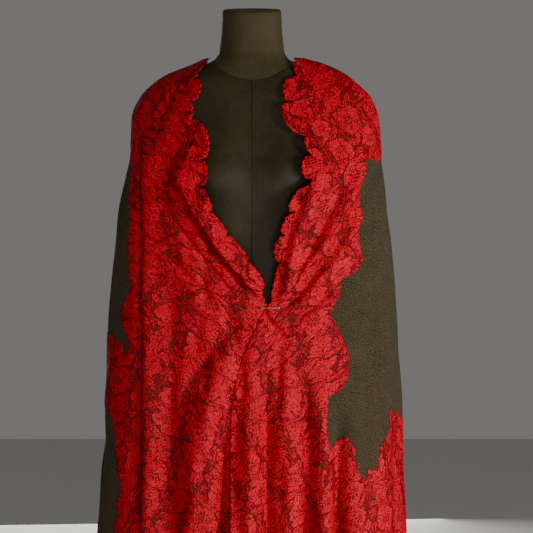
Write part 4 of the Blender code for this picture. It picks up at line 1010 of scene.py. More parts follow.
class Signal:
    """A number that changes over a surface, which Python's operators build on."""

    def __init__(self, tree: bpy.types.NodeTree, socket: bpy.types.NodeSocket) -> None:
        """Hold the tree and the socket."""
        self.tree, self.socket = tree, socket

    def math(self, operation: str, *others: Signal | float) -> Signal:
        """Add a Math node with this signal as its first value."""
        node = self.tree.nodes.new("ShaderNodeMath")
        node.operation = operation
        for socket, value in zip(node.inputs, (self, *others)):
            if isinstance(value, Signal):
                self.tree.links.new(value.socket, socket)
            else:
                socket.default_value = value
        return Signal(self.tree, node.outputs[0])

    def __add__(self, other: Signal | float) -> Signal:
        """Sum."""
        return self.math("ADD", other)

    def __sub__(self, other: Signal | float) -> Signal:
        """Difference."""
        return self.math("SUBTRACT", other)

    def __mul__(self, other: Signal | float) -> Signal:
        """Product."""
        return self.math("MULTIPLY", other)

    def __truediv__(self, other: Signal | float) -> Signal:
        """Quotient."""
        return self.math("DIVIDE", other)

    def __pow__(self, other: Signal | float) -> Signal:
        """Power."""
        return self.math("POWER", other)

    def inverse(self) -> Signal:
        """One less the signal."""
        return self * -1.0 + 1.0

    def above(self, edge: float, soft: float = 0.15) -> Signal:
        """Nought below an edge and one above it, eased over a short width."""
        node = self.tree.nodes.new("ShaderNodeMapRange")
        node.interpolation_type = "SMOOTHSTEP"
        self.tree.links.new(self.socket, node.inputs["Value"])
        node.inputs["From Min"].default_value = edge - soft
        node.inputs["From Max"].default_value = edge + soft
        return Signal(self.tree, node.outputs["Result"])

    def below(self, edge: float, soft: float = 0.15) -> Signal:
        """One below an edge and nought above it."""
        return self.above(edge, soft).inverse()

    def between(self, low: float, high: float, soft: float = 0.15) -> Signal:
        """One between two edges."""
        return self.above(low, soft) * self.below(high, soft)


class Shader:
    """Adds nodes to a material or a group."""

    def __init__(self, tree: bpy.types.NodeTree) -> None:
        """Hold the tree."""
        self.tree = tree

    def node(self, kind: str, inputs: dict[str, object] | None = None, **settings: object) -> bpy.types.Node:
        """Add a node.

        Args:
            kind: The node's type.
            inputs: Values, signals or sockets by input name.
            settings: Properties of the node.

        Returns:
            The node.
        """
        node = self.tree.nodes.new(kind)
        for name, value in settings.items():
            setattr(node, name, value)
        for name, value in (inputs or {}).items():
            if isinstance(value, Signal):
                self.tree.links.new(value.socket, node.inputs[name])
            elif isinstance(value, bpy.types.NodeSocket):
                self.tree.links.new(value, node.inputs[name])
            else:
                node.inputs[name].default_value = value
        return node

    def signal(self, socket: bpy.types.NodeSocket) -> Signal:
        """Read a socket as a signal."""
        return Signal(self.tree, socket)

    def vector(self, x: Signal | float, y: Signal | float, z: Signal | float = 0.0) -> bpy.types.NodeSocket:
        """Join three signals."""
        return self.node("ShaderNodeCombineXYZ", {"X": x, "Y": y, "Z": z}).outputs[0]

    def split(self, vector: bpy.types.NodeSocket) -> tuple[Signal, Signal, Signal]:
        """Part a vector into signals."""
        node = self.node("ShaderNodeSeparateXYZ", {"Vector": vector})
        return tuple(self.signal(socket) for socket in node.outputs)

    def noise(self, place: bpy.types.NodeSocket, scale: float, detail: float = 2.0) -> Signal:
        """Soft noise from 0 to 1."""
        wanted = {"Vector": place, "Scale": scale, "Detail": detail}
        return self.signal(self.node("ShaderNodeTexNoise", wanted).outputs[0])

    def blend(self, share: Signal, first: Colour, second: Colour) -> bpy.types.NodeSocket:
        """Mix two colours."""
        node = self.node("ShaderNodeMix", data_type="RGBA")
        self.tree.links.new(share.socket, node.inputs[0])
        node.inputs[6].default_value = (*first, 1.0)
        node.inputs[7].default_value = (*second, 1.0)
        return node.outputs[2]

    def group(self, tree: bpy.types.NodeTree, inputs: dict[str, object]) -> bpy.types.Node:
        """Place a group."""
        return self.node("ShaderNodeGroup", inputs, node_tree=tree)

    def finish(
        self, surface: bpy.types.Node, colour: bpy.types.NodeSocket, rough: Signal,
        height: Signal | bpy.types.NodeSocket, strength: float, distance: float,
    ) -> None:
        """Join a colour, a roughness and a bump to a surface shader.

        Args:
            surface: The surface shader.
            colour: Its colour.
            rough: Its roughness.
            height: The bump's height.
            strength: The bump's strength.
            distance: The bump's depth in metres.
        """
        wanted = {"Strength": strength, "Distance": distance, "Height": height}
        bump = self.node("ShaderNodeBump", wanted)
        self.tree.links.new(colour, surface.inputs["Base Color"])
        self.tree.links.new(rough.socket, surface.inputs["Roughness"])
        self.tree.links.new(bump.outputs["Normal"], surface.inputs["Normal"])


class Effect:
    """A node group that is built once and placed in each material that uses it."""

    built: dict[str, bpy.types.NodeTree] = {}

    @classmethod
    def tree(
        cls, name: str, inputs: dict[str, str], outputs: Sequence[str]
    ) -> tuple[bpy.types.NodeTree, bool]:
        """Find a group or start it.

        Args:
            name: The group's name.
            inputs: Socket types by input name.
            outputs: Names of its number outputs.

        Returns:
            The group, and whether it is new.
        """
        if name in cls.built:
            return cls.built[name], False
        tree = bpy.data.node_groups.new(name, "ShaderNodeTree")
        for label, kind in inputs.items():
            tree.interface.new_socket(label, in_out="INPUT", socket_type=kind)
        for label in outputs:
            tree.interface.new_socket(label, in_out="OUTPUT", socket_type="NodeSocketFloat")
        cls.built[name] = tree
        return tree, True


def weave_effect() -> bpy.types.NodeTree:
    """Threads in two directions, with lengths in metres: a mask and a height."""
    sockets = {"Place": "NodeSocketVector", "Across": "NodeSocketFloat", "Down": "NodeSocketFloat"}
    tree, new = Effect.tree("weave", sockets, ("Height", "Tone"))
    if not new:
        return tree
    shader = Shader(tree)
    entry = shader.node("NodeGroupInput")
    x, y, _ = shader.split(entry.outputs["Place"])
    wander = shader.noise(entry.outputs["Place"], 90.0) * 0.0012
    across = (x + wander) * shader.signal(entry.outputs["Across"])
    down = (y + wander) * shader.signal(entry.outputs["Down"])
    twill = (across + down).math("SINE") * 0.5 + 0.5
    cross = (across - down).math("SINE") * 0.5 + 0.5
    slub = shader.noise(shader.vector(x * 60.0, y * 700.0), 1.0, 1.0)
    leave = shader.node("NodeGroupOutput")
    height = twill * 0.6 + cross * 0.25 + slub * 0.3
    tree.links.new(height.socket, leave.inputs["Height"])
    tree.links.new((twill * 0.35 + slub * 0.65).socket, leave.inputs["Tone"])
    return tree


def mottle_effect() -> bpy.types.NodeTree:
    """Uneven dye and wear: large, middling and small patches as one mask."""
    tree, new = Effect.tree("mottle", {"Place": "NodeSocketVector", "Size": "NodeSocketFloat"}, ("Mask",))
    if not new:
        return tree
    shader = Shader(tree)
    entry = shader.node("NodeGroupInput")
    x, y, z = shader.split(entry.outputs["Place"])
    size = shader.signal(entry.outputs["Size"])
    place = shader.vector(x / size, y / size, z / size)
    mask = shader.noise(place, 1.0, 3.0) * 0.5 + shader.noise(place, 4.3, 3.0) * 0.3
    mask = (mask + shader.noise(place, 17.0, 2.0) * 0.2).above(0.5, 0.16)
    leave = shader.node("NodeGroupOutput")
    tree.links.new(mask.socket, leave.inputs["Mask"])
    return tree


@dataclass(frozen=True)
class LacePattern:
    """Plain roses, leaf sprays, florets and waved cords on a fine net. Sizes in millimetres."""

    rose_width: float = 55.0
    rose_height: float = 61.0
    rose_radius: float = 19.0
    leaf_radius: float = 25.0
    floret_width: float = 17.0
    floret_height: float = 19.0
    floret_radius: float = 6.0
    halo: float = 1.5
    eyelet_pitch: float = 7.6
    petal: float = 9.0
    tuft: float = 3.3
    slant: float = math.radians(62)
    lean: float = 0.42
    cord_pitch: float = 8.8
    net_pitch: float = 1.9
    net_cover: float = 0.48

    def cell(
        self, shader: Shader, x: Signal, y: Signal, wide: float, tall: float, across: float
    ) -> list[Signal]:
        """Find a place in a brick-laid cell.

        Args:
            shader: Builder of nodes.
            x: Across the cloth.
            y: Down the cloth.
            wide: Width of a cell.
            tall: Height of a cell.
            across: Shift across by a share of a cell.

        Returns:
            Radius and angle from the cell's middle, and a number of its own.
        """
        row = (y / tall).math("FLOOR")
        place = x / wide + (row * 0.5).math("FRACT") + across
        column = place.math("FLOOR")
        own = shader.node("ShaderNodeTexWhiteNoise", noise_dimensions="2D")
        shader.tree.links.new(shader.vector(column, row), own.inputs["Vector"])
        chance = shader.signal(own.outputs["Value"])
        aside = (place.math("FRACT") - 0.5) * wide
        above = ((y / tall).math("FRACT") - 0.5) * tall
        radius = (aside * aside + above * above * 0.72).math("SQRT")
        return [radius, above.math("ARCTAN2", aside) + chance * math.tau, chance]

    def effect(self) -> bpy.types.NodeTree:
        """Build the pattern.

        Returns:
            A group that gives the thread's mask, its relief and its tone, which holds painted light and
            shade.
        """
        sockets = {"Place": "NodeSocketVector", "Rim": "NodeSocketFloat"}
        tree, new = Effect.tree("corded lace", sockets, ("Thread", "Relief", "Tone"))
        if not new:
            return tree
        shader = Shader(tree)
        entry = shader.node("NodeGroupInput")
        place = entry.outputs["Place"]
        x, y, _ = shader.split(place)
        wide, fine = (
            shader.node("ShaderNodeTexNoise", {"Vector": place, "Scale": scale, "Detail": 1.5})
            for scale in (15.0, 95.0)
        )
        drift_x, drift_y, _ = shader.split(wide.outputs["Color"])
        shake_x, shake_y, _ = shader.split(fine.outputs["Color"])
        x = x * 1000.0 + (drift_x - 0.5) * 34.0 + (shake_x - 0.5) * 5.0
        y = y * 1000.0 + (drift_y - 0.5) * 34.0 + (shake_y - 0.5) * 5.0
        over = x * math.cos(self.slant) + y * math.sin(self.slant)
        down = y * math.cos(self.slant) - x * math.sin(self.slant)
        ragged = (shader.noise(shader.vector(x, y), 0.085, 1.0) - 0.5) * 9.0
        radius, angle, own = self.cell(shader, over, down, self.rose_width, self.rose_height, 0.0)
        bumps = (angle * 4.5).math("COSINE").math("ABSOLUTE") ** 0.5
        rose = radius - (bumps * 0.16 + 0.74 + own * 0.26) * self.rose_radius - ragged
        in_rose = rose.below(0.0)
        spray, turn, _ = self.cell(shader, over, down, self.rose_width, self.rose_height, 0.5)
        turn = turn + spray * 0.035
        blades = (turn * 2.5).math("COSINE").math("ABSOLUTE") ** 1.3
        leaf = spray - (blades * 0.90 + 0.10) * self.leaf_radius - ragged * 0.5
        in_leaf = leaf.below(0.0)
        bloom, spin, chance = self.cell(shader, x, y, self.floret_width, self.floret_height, 0.2)
        petals = (spin * 2.5).math("COSINE").math("ABSOLUTE") ** 0.6
        floret = bloom - (petals * 0.45 + 0.55) * self.floret_radius
        in_floret = floret.below(0.0) * chance.above(0.42, 0.02)
        sway = (y * (math.tau / 17.0) + drift_y * 9.0).math("SINE") * 0.14 + drift_x * 2.6 + ragged * 0.035
        waves = (((x - y * self.lean) / self.cord_pitch + sway) * math.tau).math("SINE")
        lean = (x - y * self.lean) * 0.10
        patch = shader.noise(shader.vector(lean, y * 0.045), 1.0, 2.0) - 0.5
        beside = rose.between(0.0, 6.5, 1.5).math("MAXIMUM", leaf.between(0.0, 5.0, 1.5))
        cord = (waves - patch * 6.0 - beside * 1.3).above(-0.30, 0.22)
        motif = in_rose.math("MAXIMUM", in_leaf).math("MAXIMUM", in_floret)
        solid = motif.math("MAXIMUM", cord)
        wave = math.tau / self.net_pitch
        net = (x * wave).math("SINE") * (y * wave).math("SINE")
        net = net.above(1.0 - self.net_cover * 2.0, 0.35).math("MAXIMUM", self.net_cover * 0.55)
        # open_rim thins the thread round the roses and leaves; it also darkens the tone there, as painted
        # shade in these openings.
        open_rim = rose.between(0.0, self.halo, 0.3).math("MAXIMUM", leaf.between(0.0, self.halo, 0.3))
        open_rim = open_rim * in_rose.inverse() * in_leaf.inverse()
        slant = math.tau / self.eyelet_pitch
        dots = ((x * 0.79 + y * 0.61) * slant).math("COSINE") * ((y * 0.79 - x * 0.61) * slant).math("COSINE")
        middle = radius.below(8.4, 0.8) * own.above(0.40, 0.02)
        cluster = shader.noise(shader.vector(x, y), 0.036, 0.0).above(0.62, 0.015) * in_floret.inverse()
        eyelets = dots.above(0.38, 0.10) * middle.math("MAXIMUM", cluster)
        ring = bloom.between(1.9, 3.3, 0.3) * (spin * 2.5).math("SINE").math("ABSOLUTE").above(0.72, 0.1)
        eyelets = eyelets.math("MAXIMUM", ring * in_floret * in_rose.inverse())
        rim = shader.signal(entry.outputs["Rim"]) * 1000.0
        edge = rim.below(2.6, 0.5)
        thread = solid.math("MAXIMUM", net) * (open_rim * 0.8).inverse()
        thread = thread * eyelets.inverse()
        thread = thread.math("MAXIMUM", edge)
        wanted = {"Vector": shader.vector(x, y * 0.8), "Scale": 1.0 / self.petal, "Randomness": 0.9}
        petal = shader.node(
            "ShaderNodeTexVoronoi", wanted, voronoi_dimensions="2D", feature="DISTANCE_TO_EDGE"
        )
        border = shader.signal(petal.outputs["Distance"])
        # line marks the partings between petals and the leaf veins; it only darkens the tone, as painted
        # shade along them.
        line = border.below(0.075, 0.04) * motif * 0.5
        from_parting = (angle * 4.5).math("COSINE").math("ABSOLUTE") * radius
        parting = from_parting.below(3.2, 1.2) * radius.above(6.0, 0.8)
        heart = radius.between(5.4, 6.6, 0.4)
        from_vein = (turn * 2.5).math("SINE").math("ABSOLUTE") * spray
        vein = from_vein.below(1.7, 0.8) * in_leaf * in_rose.inverse()
        line = line + (parting.math("MAXIMUM", heart) * in_rose + vein) * 1.6
        wanted = {"Vector": shader.vector(x, y), "Scale": 1.0 / self.tuft, "Randomness": 1.0}
        tufts = shader.node("ShaderNodeTexVoronoi", wanted, voronoi_dimensions="2D", feature="F1")
        # knot raises each tuft in the relief; in the tone it is painted highlight and shade, lighter in the
        # tuft's middle and darker at its rim.
        knot = (shader.signal(tufts.outputs["Distance"]) * 1.5).inverse().math("MAXIMUM", 0.0)
        ripple = (waves * 2.2).math("SINE") * 0.5 + 0.5
        grain = shader.noise(place, 380.0, 2.5)
        twist = shader.noise(place, 820.0, 1.0)
        # raised lifts a narrow rim inside each rose and leaf in the relief; in the tone it is a painted
        # highlight, drawing that rim a little lighter.
        raised = rose.between(-2.4, 0.0, 0.4).math("MAXIMUM", leaf.between(-1.8, 0.0, 0.4))
        relief = motif * 0.40 + solid * 0.30 + raised * 0.20 + ripple * 0.12 * motif.inverse()
        relief = relief + knot * 0.35 + grain * 0.25 + twist * 0.15 - eyelets * 0.5
        # Tone: raised and knot add painted highlight and shade, line and open_rim painted shade; the rest is
        # the thread's own tone.
        tone = motif * 0.26 + raised * 0.06 + (grain - 0.5) * 1.0 + (twist - 0.5) * 0.5 + 0.50
        tone = tone + (knot - 0.45) * 0.75 - line * 0.22 - open_rim * 0.45 - solid.inverse() * 0.12
        leave = shader.node("NodeGroupOutput")
        tree.links.new(thread.socket, leave.inputs["Thread"])
        tree.links.new(relief.socket, leave.inputs["Relief"])
        tree.links.new(tone.math("MAXIMUM", 0.0).math("MINIMUM", 1.0).socket, leave.inputs["Tone"])
        return tree


@dataclass(frozen=True)
class LaceFinish:
    """Madder-red corded lace, open between its motifs."""

    name: str = "red_lace"
    shade: Colour = (0.085, 0.0000, 0.0030)
    thread: Colour = (0.700, 0.0000, 0.0160)
    roughness: float = 0.58
    pattern: LacePattern = LacePattern()

    def material(self) -> bpy.types.Material:
        """Build the material."""
        material, shader, surface = new_material(self.name)
        place = shader.node("ShaderNodeUVMap", uv_map="cloth").outputs["UV"]
        rim = shader.node("ShaderNodeAttribute", attribute_name="rim").outputs["Fac"]
        lace = shader.group(self.pattern.effect(), {"Place": place, "Rim": rim})
        worn = shader.group(mottle_effect(), {"Place": place, "Size": 0.05}).outputs["Mask"]
        tone = shader.signal(lace.outputs["Tone"]) * (shader.signal(worn) * 0.35 + 0.75)
        colour = shader.blend(tone, self.shade, self.thread)
        rough = shader.signal(lace.outputs["Tone"]) * -0.16 + (self.roughness + 0.12)
        shader.finish(surface, colour, rough, lace.outputs["Relief"], 1.0, 0.0012)
        shader.tree.links.new(lace.outputs["Thread"], surface.inputs["Alpha"])
        surface.inputs["Specular IOR Level"].default_value = 0.12
        return material


@dataclass(frozen=True)
class WoolFinish:
    """Fine olive-brown wool twill, a little uneven in its dye."""

    name: str = "olive_wool"
    dark: Colour = (0.0085, 0.0060, 0.0025)
    light: Colour = (0.080, 0.059, 0.028)
    threads: float = 3700.0

    def material(self) -> bpy.types.Material:
        """Build the material."""
        material, shader, surface = new_material(self.name)
        place = shader.node("ShaderNodeUVMap", uv_map="cloth").outputs["UV"]
        weave = shader.group(weave_effect(), {"Place": place, "Across": self.threads, "Down": self.threads})
        patch = shader.group(mottle_effect(), {"Place": place, "Size": 0.035}).outputs["Mask"]
        speck = shader.noise(place, 430.0, 0.0).above(0.5, 0.07)
        tone = shader.signal(patch) * 0.22 + shader.signal(weave.outputs["Tone"]) * 0.22 + speck * 0.62
        height = shader.signal(weave.outputs["Height"]) + speck * 0.8
        rough = shader.signal(patch) * 0.08 + 0.84
        shader.finish(surface, shader.blend(tone, self.dark, self.light), rough, height, 0.55, 0.0006)
        surface.inputs["Sheen Weight"].default_value = 0.03
        surface.inputs["Sheen Roughness"].default_value = 0.5
        surface.inputs["Specular IOR Level"].default_value = 0.1
        return material


@dataclass(frozen=True)
class RibbedFinish:
    """Finely ribbed cloth on the dress form. A seam half width below nought leaves the front seam out."""

    name: str
    dark: Colour
    light: Colour
    ribs: int = 240
    seam: float = 0.0011

    def material(self) -> bpy.types.Material:
        """Build the material."""
        material, shader, surface = new_material(self.name)
        place = shader.node("ShaderNodeTexCoord").outputs["Object"]
        x, y, z = shader.split(place)
        bearing = x.math("ARCTAN2", y * -1.0)
        wander = shader.noise(place, 14.0) * 0.5
        rib = (bearing * float(self.ribs) + wander).math("SINE") * 0.5 + 0.5
        cloth = shader.vector(bearing * 0.12, z)
        weave = shader.group(weave_effect(), {"Place": cloth, "Across": 4200.0, "Down": 4200.0})
        patch = shader.group(mottle_effect(), {"Place": place, "Size": 0.07}).outputs["Mask"]
        seam = x.math("ABSOLUTE").below(self.seam, 0.0003) * y.below(-0.02, 0.005)
        tone = rib * 0.14 + shader.signal(patch) * 0.45 + shader.signal(weave.outputs["Tone"]) * 0.35
        # Painted light: below about 1.09 m the tone is raised up to 1.9 times, so the waist under the bust
        # shows lit.
        tone = tone * (seam * 0.75).inverse() * (z.below(1.09, 0.07) * 0.9 + 1.0)
        height = rib * 0.35 + shader.signal(weave.outputs["Height"]) * 0.3 - seam * 1.6
        rough = shader.signal(patch) * 0.08 + 0.46
        shader.finish(surface, shader.blend(tone, self.dark, self.light), rough, height, 0.6, 0.0007)
        surface.inputs["Specular IOR Level"].default_value = 0.14
        return material


@dataclass(frozen=True)
class MetalFinish:
    """Plated or painted metal with fine wear."""

    name: str
    dark: Colour
    light: Colour
    roughness: float
    metallic: float
    grain: float = 120.0

    def material(self) -> bpy.types.Material:
        """Build the material."""
        material, shader, surface = new_material(self.name)
        place = shader.node("ShaderNodeTexCoord").outputs["Object"]
        patch = shader.group(mottle_effect(), {"Place": place, "Size": 0.03}).outputs["Mask"]
        grain = shader.noise(place, self.grain * 10.0, 2.0)
        tone = shader.signal(patch) * 0.5 + grain * 0.5
        rough = grain * 0.12 + self.roughness
        shader.finish(surface, shader.blend(tone, self.dark, self.light), rough, grain, 0.2, 0.0002)
        surface.inputs["Metallic"].default_value = self.metallic
        return material


def new_material(name: str) -> tuple[bpy.types.Material, Shader, bpy.types.Node]:
    """Start a material.

    Args:
        name: Its name.

    Returns:
        The material, a builder of its nodes, and its surface shader.
    """
    material = bpy.data.materials.new(name)
    material.use_nodes = True
    shader = Shader(material.node_tree)
    return material, shader, material.node_tree.nodes["Principled BSDF"]


def add_piece(
    name: str, data: bpy.types.Mesh, material: bpy.types.Material, nodes: Sequence[str]
) -> bpy.types.Object:
    """Put a finished mesh in the scene as a piece.

    Args:
        name: The piece's name.
        data: Its mesh.
        material: Its material.
        nodes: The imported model's nodes that it stands for.

    Returns:
        The piece.
    """
    data.materials.clear()
    data.materials.append(material)
    piece = bpy.data.objects.new(name, data)
    bpy.context.scene.collection.objects.link(piece)
    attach(piece, "root")
    if nodes:
        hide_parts(*nodes)
    log.info("%s: %d faces", name, len(data.polygons))
    return piece


def thicken(piece: bpy.types.Object, thickness: float, side: float) -> None:
    """Give a cloth its wall.

    Args:
        piece: The cloth.
        thickness: The wall's thickness.
        side: -1 to grow inwards, 1 to grow outwards.
    """
    wall = piece.modifiers.new("wall", "SOLIDIFY")
    wall.thickness = thickness
    wall.offset = side


class ClothCut(NamedTuple):
    """The cut of a piece of cloth: its flat width and length, and its flat area if it isn't whole."""

    width: float
    length: float
    area: float | None = None


@dataclass
class Shawl:
    """The wool and the lace border, in the stretches that show."""

    drape: Drape = field(default_factory=Drape)
    wool_thickness: float = 0.0015
    lace_thickness: float = 0.0009
    lace_lift: float = 0.0005
    past_edge: float = 0.030
    lace_overlap: float = 0.009
    wool_cell: tuple[float, float] = (0.0034, 0.0042)
    lace_cell: tuple[float, float] = (0.0030, 0.0032)
    widths: tuple[float, float] = (0.47, 0.26)

    def __post_init__(self) -> None:
        """Lay out the lace."""
        self.layout = LaceLayout(self.drape)

    def lines(self, front: Front, past: float) -> tuple[Callable[[float], float], Callable[[float], float]]:
        """The two side lines of a front with its side.

        Args:
            front: Which front.
            past: How far to go past its free edge.

        Returns:
            The bearing of the free edge and of the joint behind, by height.
        """
        side = -1 if front is Front.LEFT else 1

        def start(nominal: float) -> float:
            """Bearing of the free edge."""
            line = self.drape.edge_bearing(nominal, front)
            return line - side * past / float(self.drape.cloth_radius(np.array(line), np.array(nominal)))

        def end(nominal: float) -> float:
            """Bearing of the joint behind."""
            return side * self.drape.split

        return start, end

    def wool(self, name: str, front: Front, behind: bool, nodes: Sequence[str]) -> None:
        """Build one stretch of wool.

        Args:
            name: Its name.
            front: Which front it hangs from.
            behind: Whether it is the stretch behind.
            nodes: The solids that it stands for.
        """
        start, end = self.lines(front, -self.lace_overlap)
        width = self.widths[0]
        if behind:
            start, end = (lambda nominal: self.drape.split), (lambda nominal: math.tau - self.drape.split)
            width = self.widths[1]
        tall = self.drape.neckline - self.drape.hem
        grid = ClothGrid(
            self.drape, front, start, end, self.drape.neckline, self.drape.hem,
            round(width / self.wool_cell[0]), round(tall / self.wool_cell[1]),
        )
        piece = add_piece(name, grid.mesh(name, 0.0), self.wool_material, nodes)
        thicken(piece, self.wool_thickness, -1.0)

    def lace(
        self, name: str, front: Front, outline: Callable[[Array, Array], Array] | None,
        nodes: Sequence[str], rests_on: str, cut: ClothCut,
    ) -> None:
        """Build one stretch of the lace border.

        Args:
            name: Its name.
            front: Which front it lies on.
            outline: The outline of a stretch behind, or nothing for a front with its side.
            nodes: The solids that it stands for.
            rests_on: The wool that it lies on; not used.
            cut: Its flat size; not used.
        """
        start, end = self.lines(front, self.past_edge)
        width = self.widths[0] + self.past_edge
        if outline:
            start, end = (lambda nominal: self.drape.split), (lambda nominal: math.tau - self.drape.split)
            width = self.widths[1]
        else:
            def outline(bearing: Array, nominal: Array) -> Array:
                """The outline of a front with its side."""
                return self.layout.covered(bearing, nominal, front, True)
        top, bottom = self.drape.neckline + 0.010, self.drape.hem - 0.012
        grid = ClothGrid(
            self.drape, front, start, end, top, bottom,
            round(width / self.lace_cell[0]), round((top - bottom) / self.lace_cell[1]), outline,
        )
        piece = add_piece(name, grid.mesh(name, self.lace_lift), self.lace_material, nodes)
        thicken(piece, self.lace_thickness, 1.0)

    def build(self) -> None:
        """Build all the wool and lace."""
        self.wool_material = WoolFinish().material()
        self.lace_material = LaceFinish().material()
        self.wool(
            "left_wool", Front.LEFT, False, ("wool_left_front", "wool_left_side")
        )
        self.wool("back_wool", Front.RIGHT, True, ("wool_back",))
        self.wool(
            "right_wool", Front.RIGHT, False, ("wool_right_front", "wool_right_side")
        )
        self.lace(
            "left_lace", Front.LEFT, None,
            ("lace_left_front", "lace_left_shoulder", "lace_left_hem"), "left_wool",
            ClothCut(0.54, 1.14, 0.45),
        )
        self.lace(
            "right_lace", Front.RIGHT, None,
            ("lace_right_front", "lace_right_shoulder", "lace_right_hem"), "right_wool",
            ClothCut(0.54, 1.14, 0.395),
        )

        def behind(bearing: Array, nominal: Array) -> Array:
            """The lace on the stretch behind."""
            return self.layout.covered(bearing, nominal, Front.RIGHT, False)

        self.lace(
            "back_neck_lace", Front.RIGHT,
            lambda bearing, nominal: np.minimum(behind(bearing, nominal), nominal - 1.0),
            ("lace_back_neck",), "back_wool", ClothCut(0.22, 0.185),
        )
        self.lace(
            "back_hem_lace", Front.RIGHT,
            lambda bearing, nominal: np.minimum(behind(bearing, nominal), 1.0 - nominal),
            ("lace_back_hem",), "back_wool", ClothCut(0.36, 0.246),
        )


def spin_profile(profile: Sequence[tuple[float, float]], steps: int) -> bmesh.types.BMesh:
    """Spin a profile round the upright axis.

    Args:
        profile: Radius and height pairs, from axis to axis or round a ring.
        steps: Sides of the spin.

    Returns:
        The spun body.
    """
    body = bmesh.new()
    verts = [body.verts.new((radius, 0.0, height)) for radius, height in profile]
    edges = [body.edges.new(pair) for pair in zip(verts, verts[1:])]
    bmesh.ops.spin(
        body, geom=verts + edges, cent=(0, 0, 0), axis=(0, 0, 1), angle=math.tau,
        steps=steps, use_merge=True,
    )
    bmesh.ops.remove_doubles(body, verts=list(body.verts), dist=1e-6)
    return body


def smooth_mesh(body: bmesh.types.BMesh, name: str, sharp_from: float) -> bpy.types.Mesh:
    """Turn a body into a smooth mesh that keeps its corners.

    Args:
        body: The body, which is freed.
        name: The mesh's name.
        sharp_from: The least angle of a corner, in degrees.

    Returns:
        The mesh.
    """
    data = bpy.data.meshes.new(name)
    body.to_mesh(data)
    body.free()
    data.shade_smooth()
    data.set_sharp_from_angle(angle=math.radians(sharp_from))
    return data


def turned(name: str, profile: Sequence[tuple[float, float]], steps: int, bevel: float) -> bpy.types.Mesh:
    """Spin a profile from axis to axis and round its corners.

    Args:
        name: The mesh's name.
        profile: Radius and height pairs.
        steps: Sides of the spin.
        bevel: Width of the rounded corners.

    Returns:
        The mesh.
    """
    body = spin_profile(profile, steps)
    bmesh.ops.recalc_face_normals(body, faces=list(body.faces))
    if bevel:
        sharp = [edge for edge in body.edges if edge.calc_face_angle(0.0) > math.radians(40)]
        bmesh.ops.bevel(
            body, geom=sharp, offset=bevel, offset_type="OFFSET", segments=4, profile=0.5,
            affect="EDGES", material=-1,
        )
    return smooth_mesh(body, name, 40)


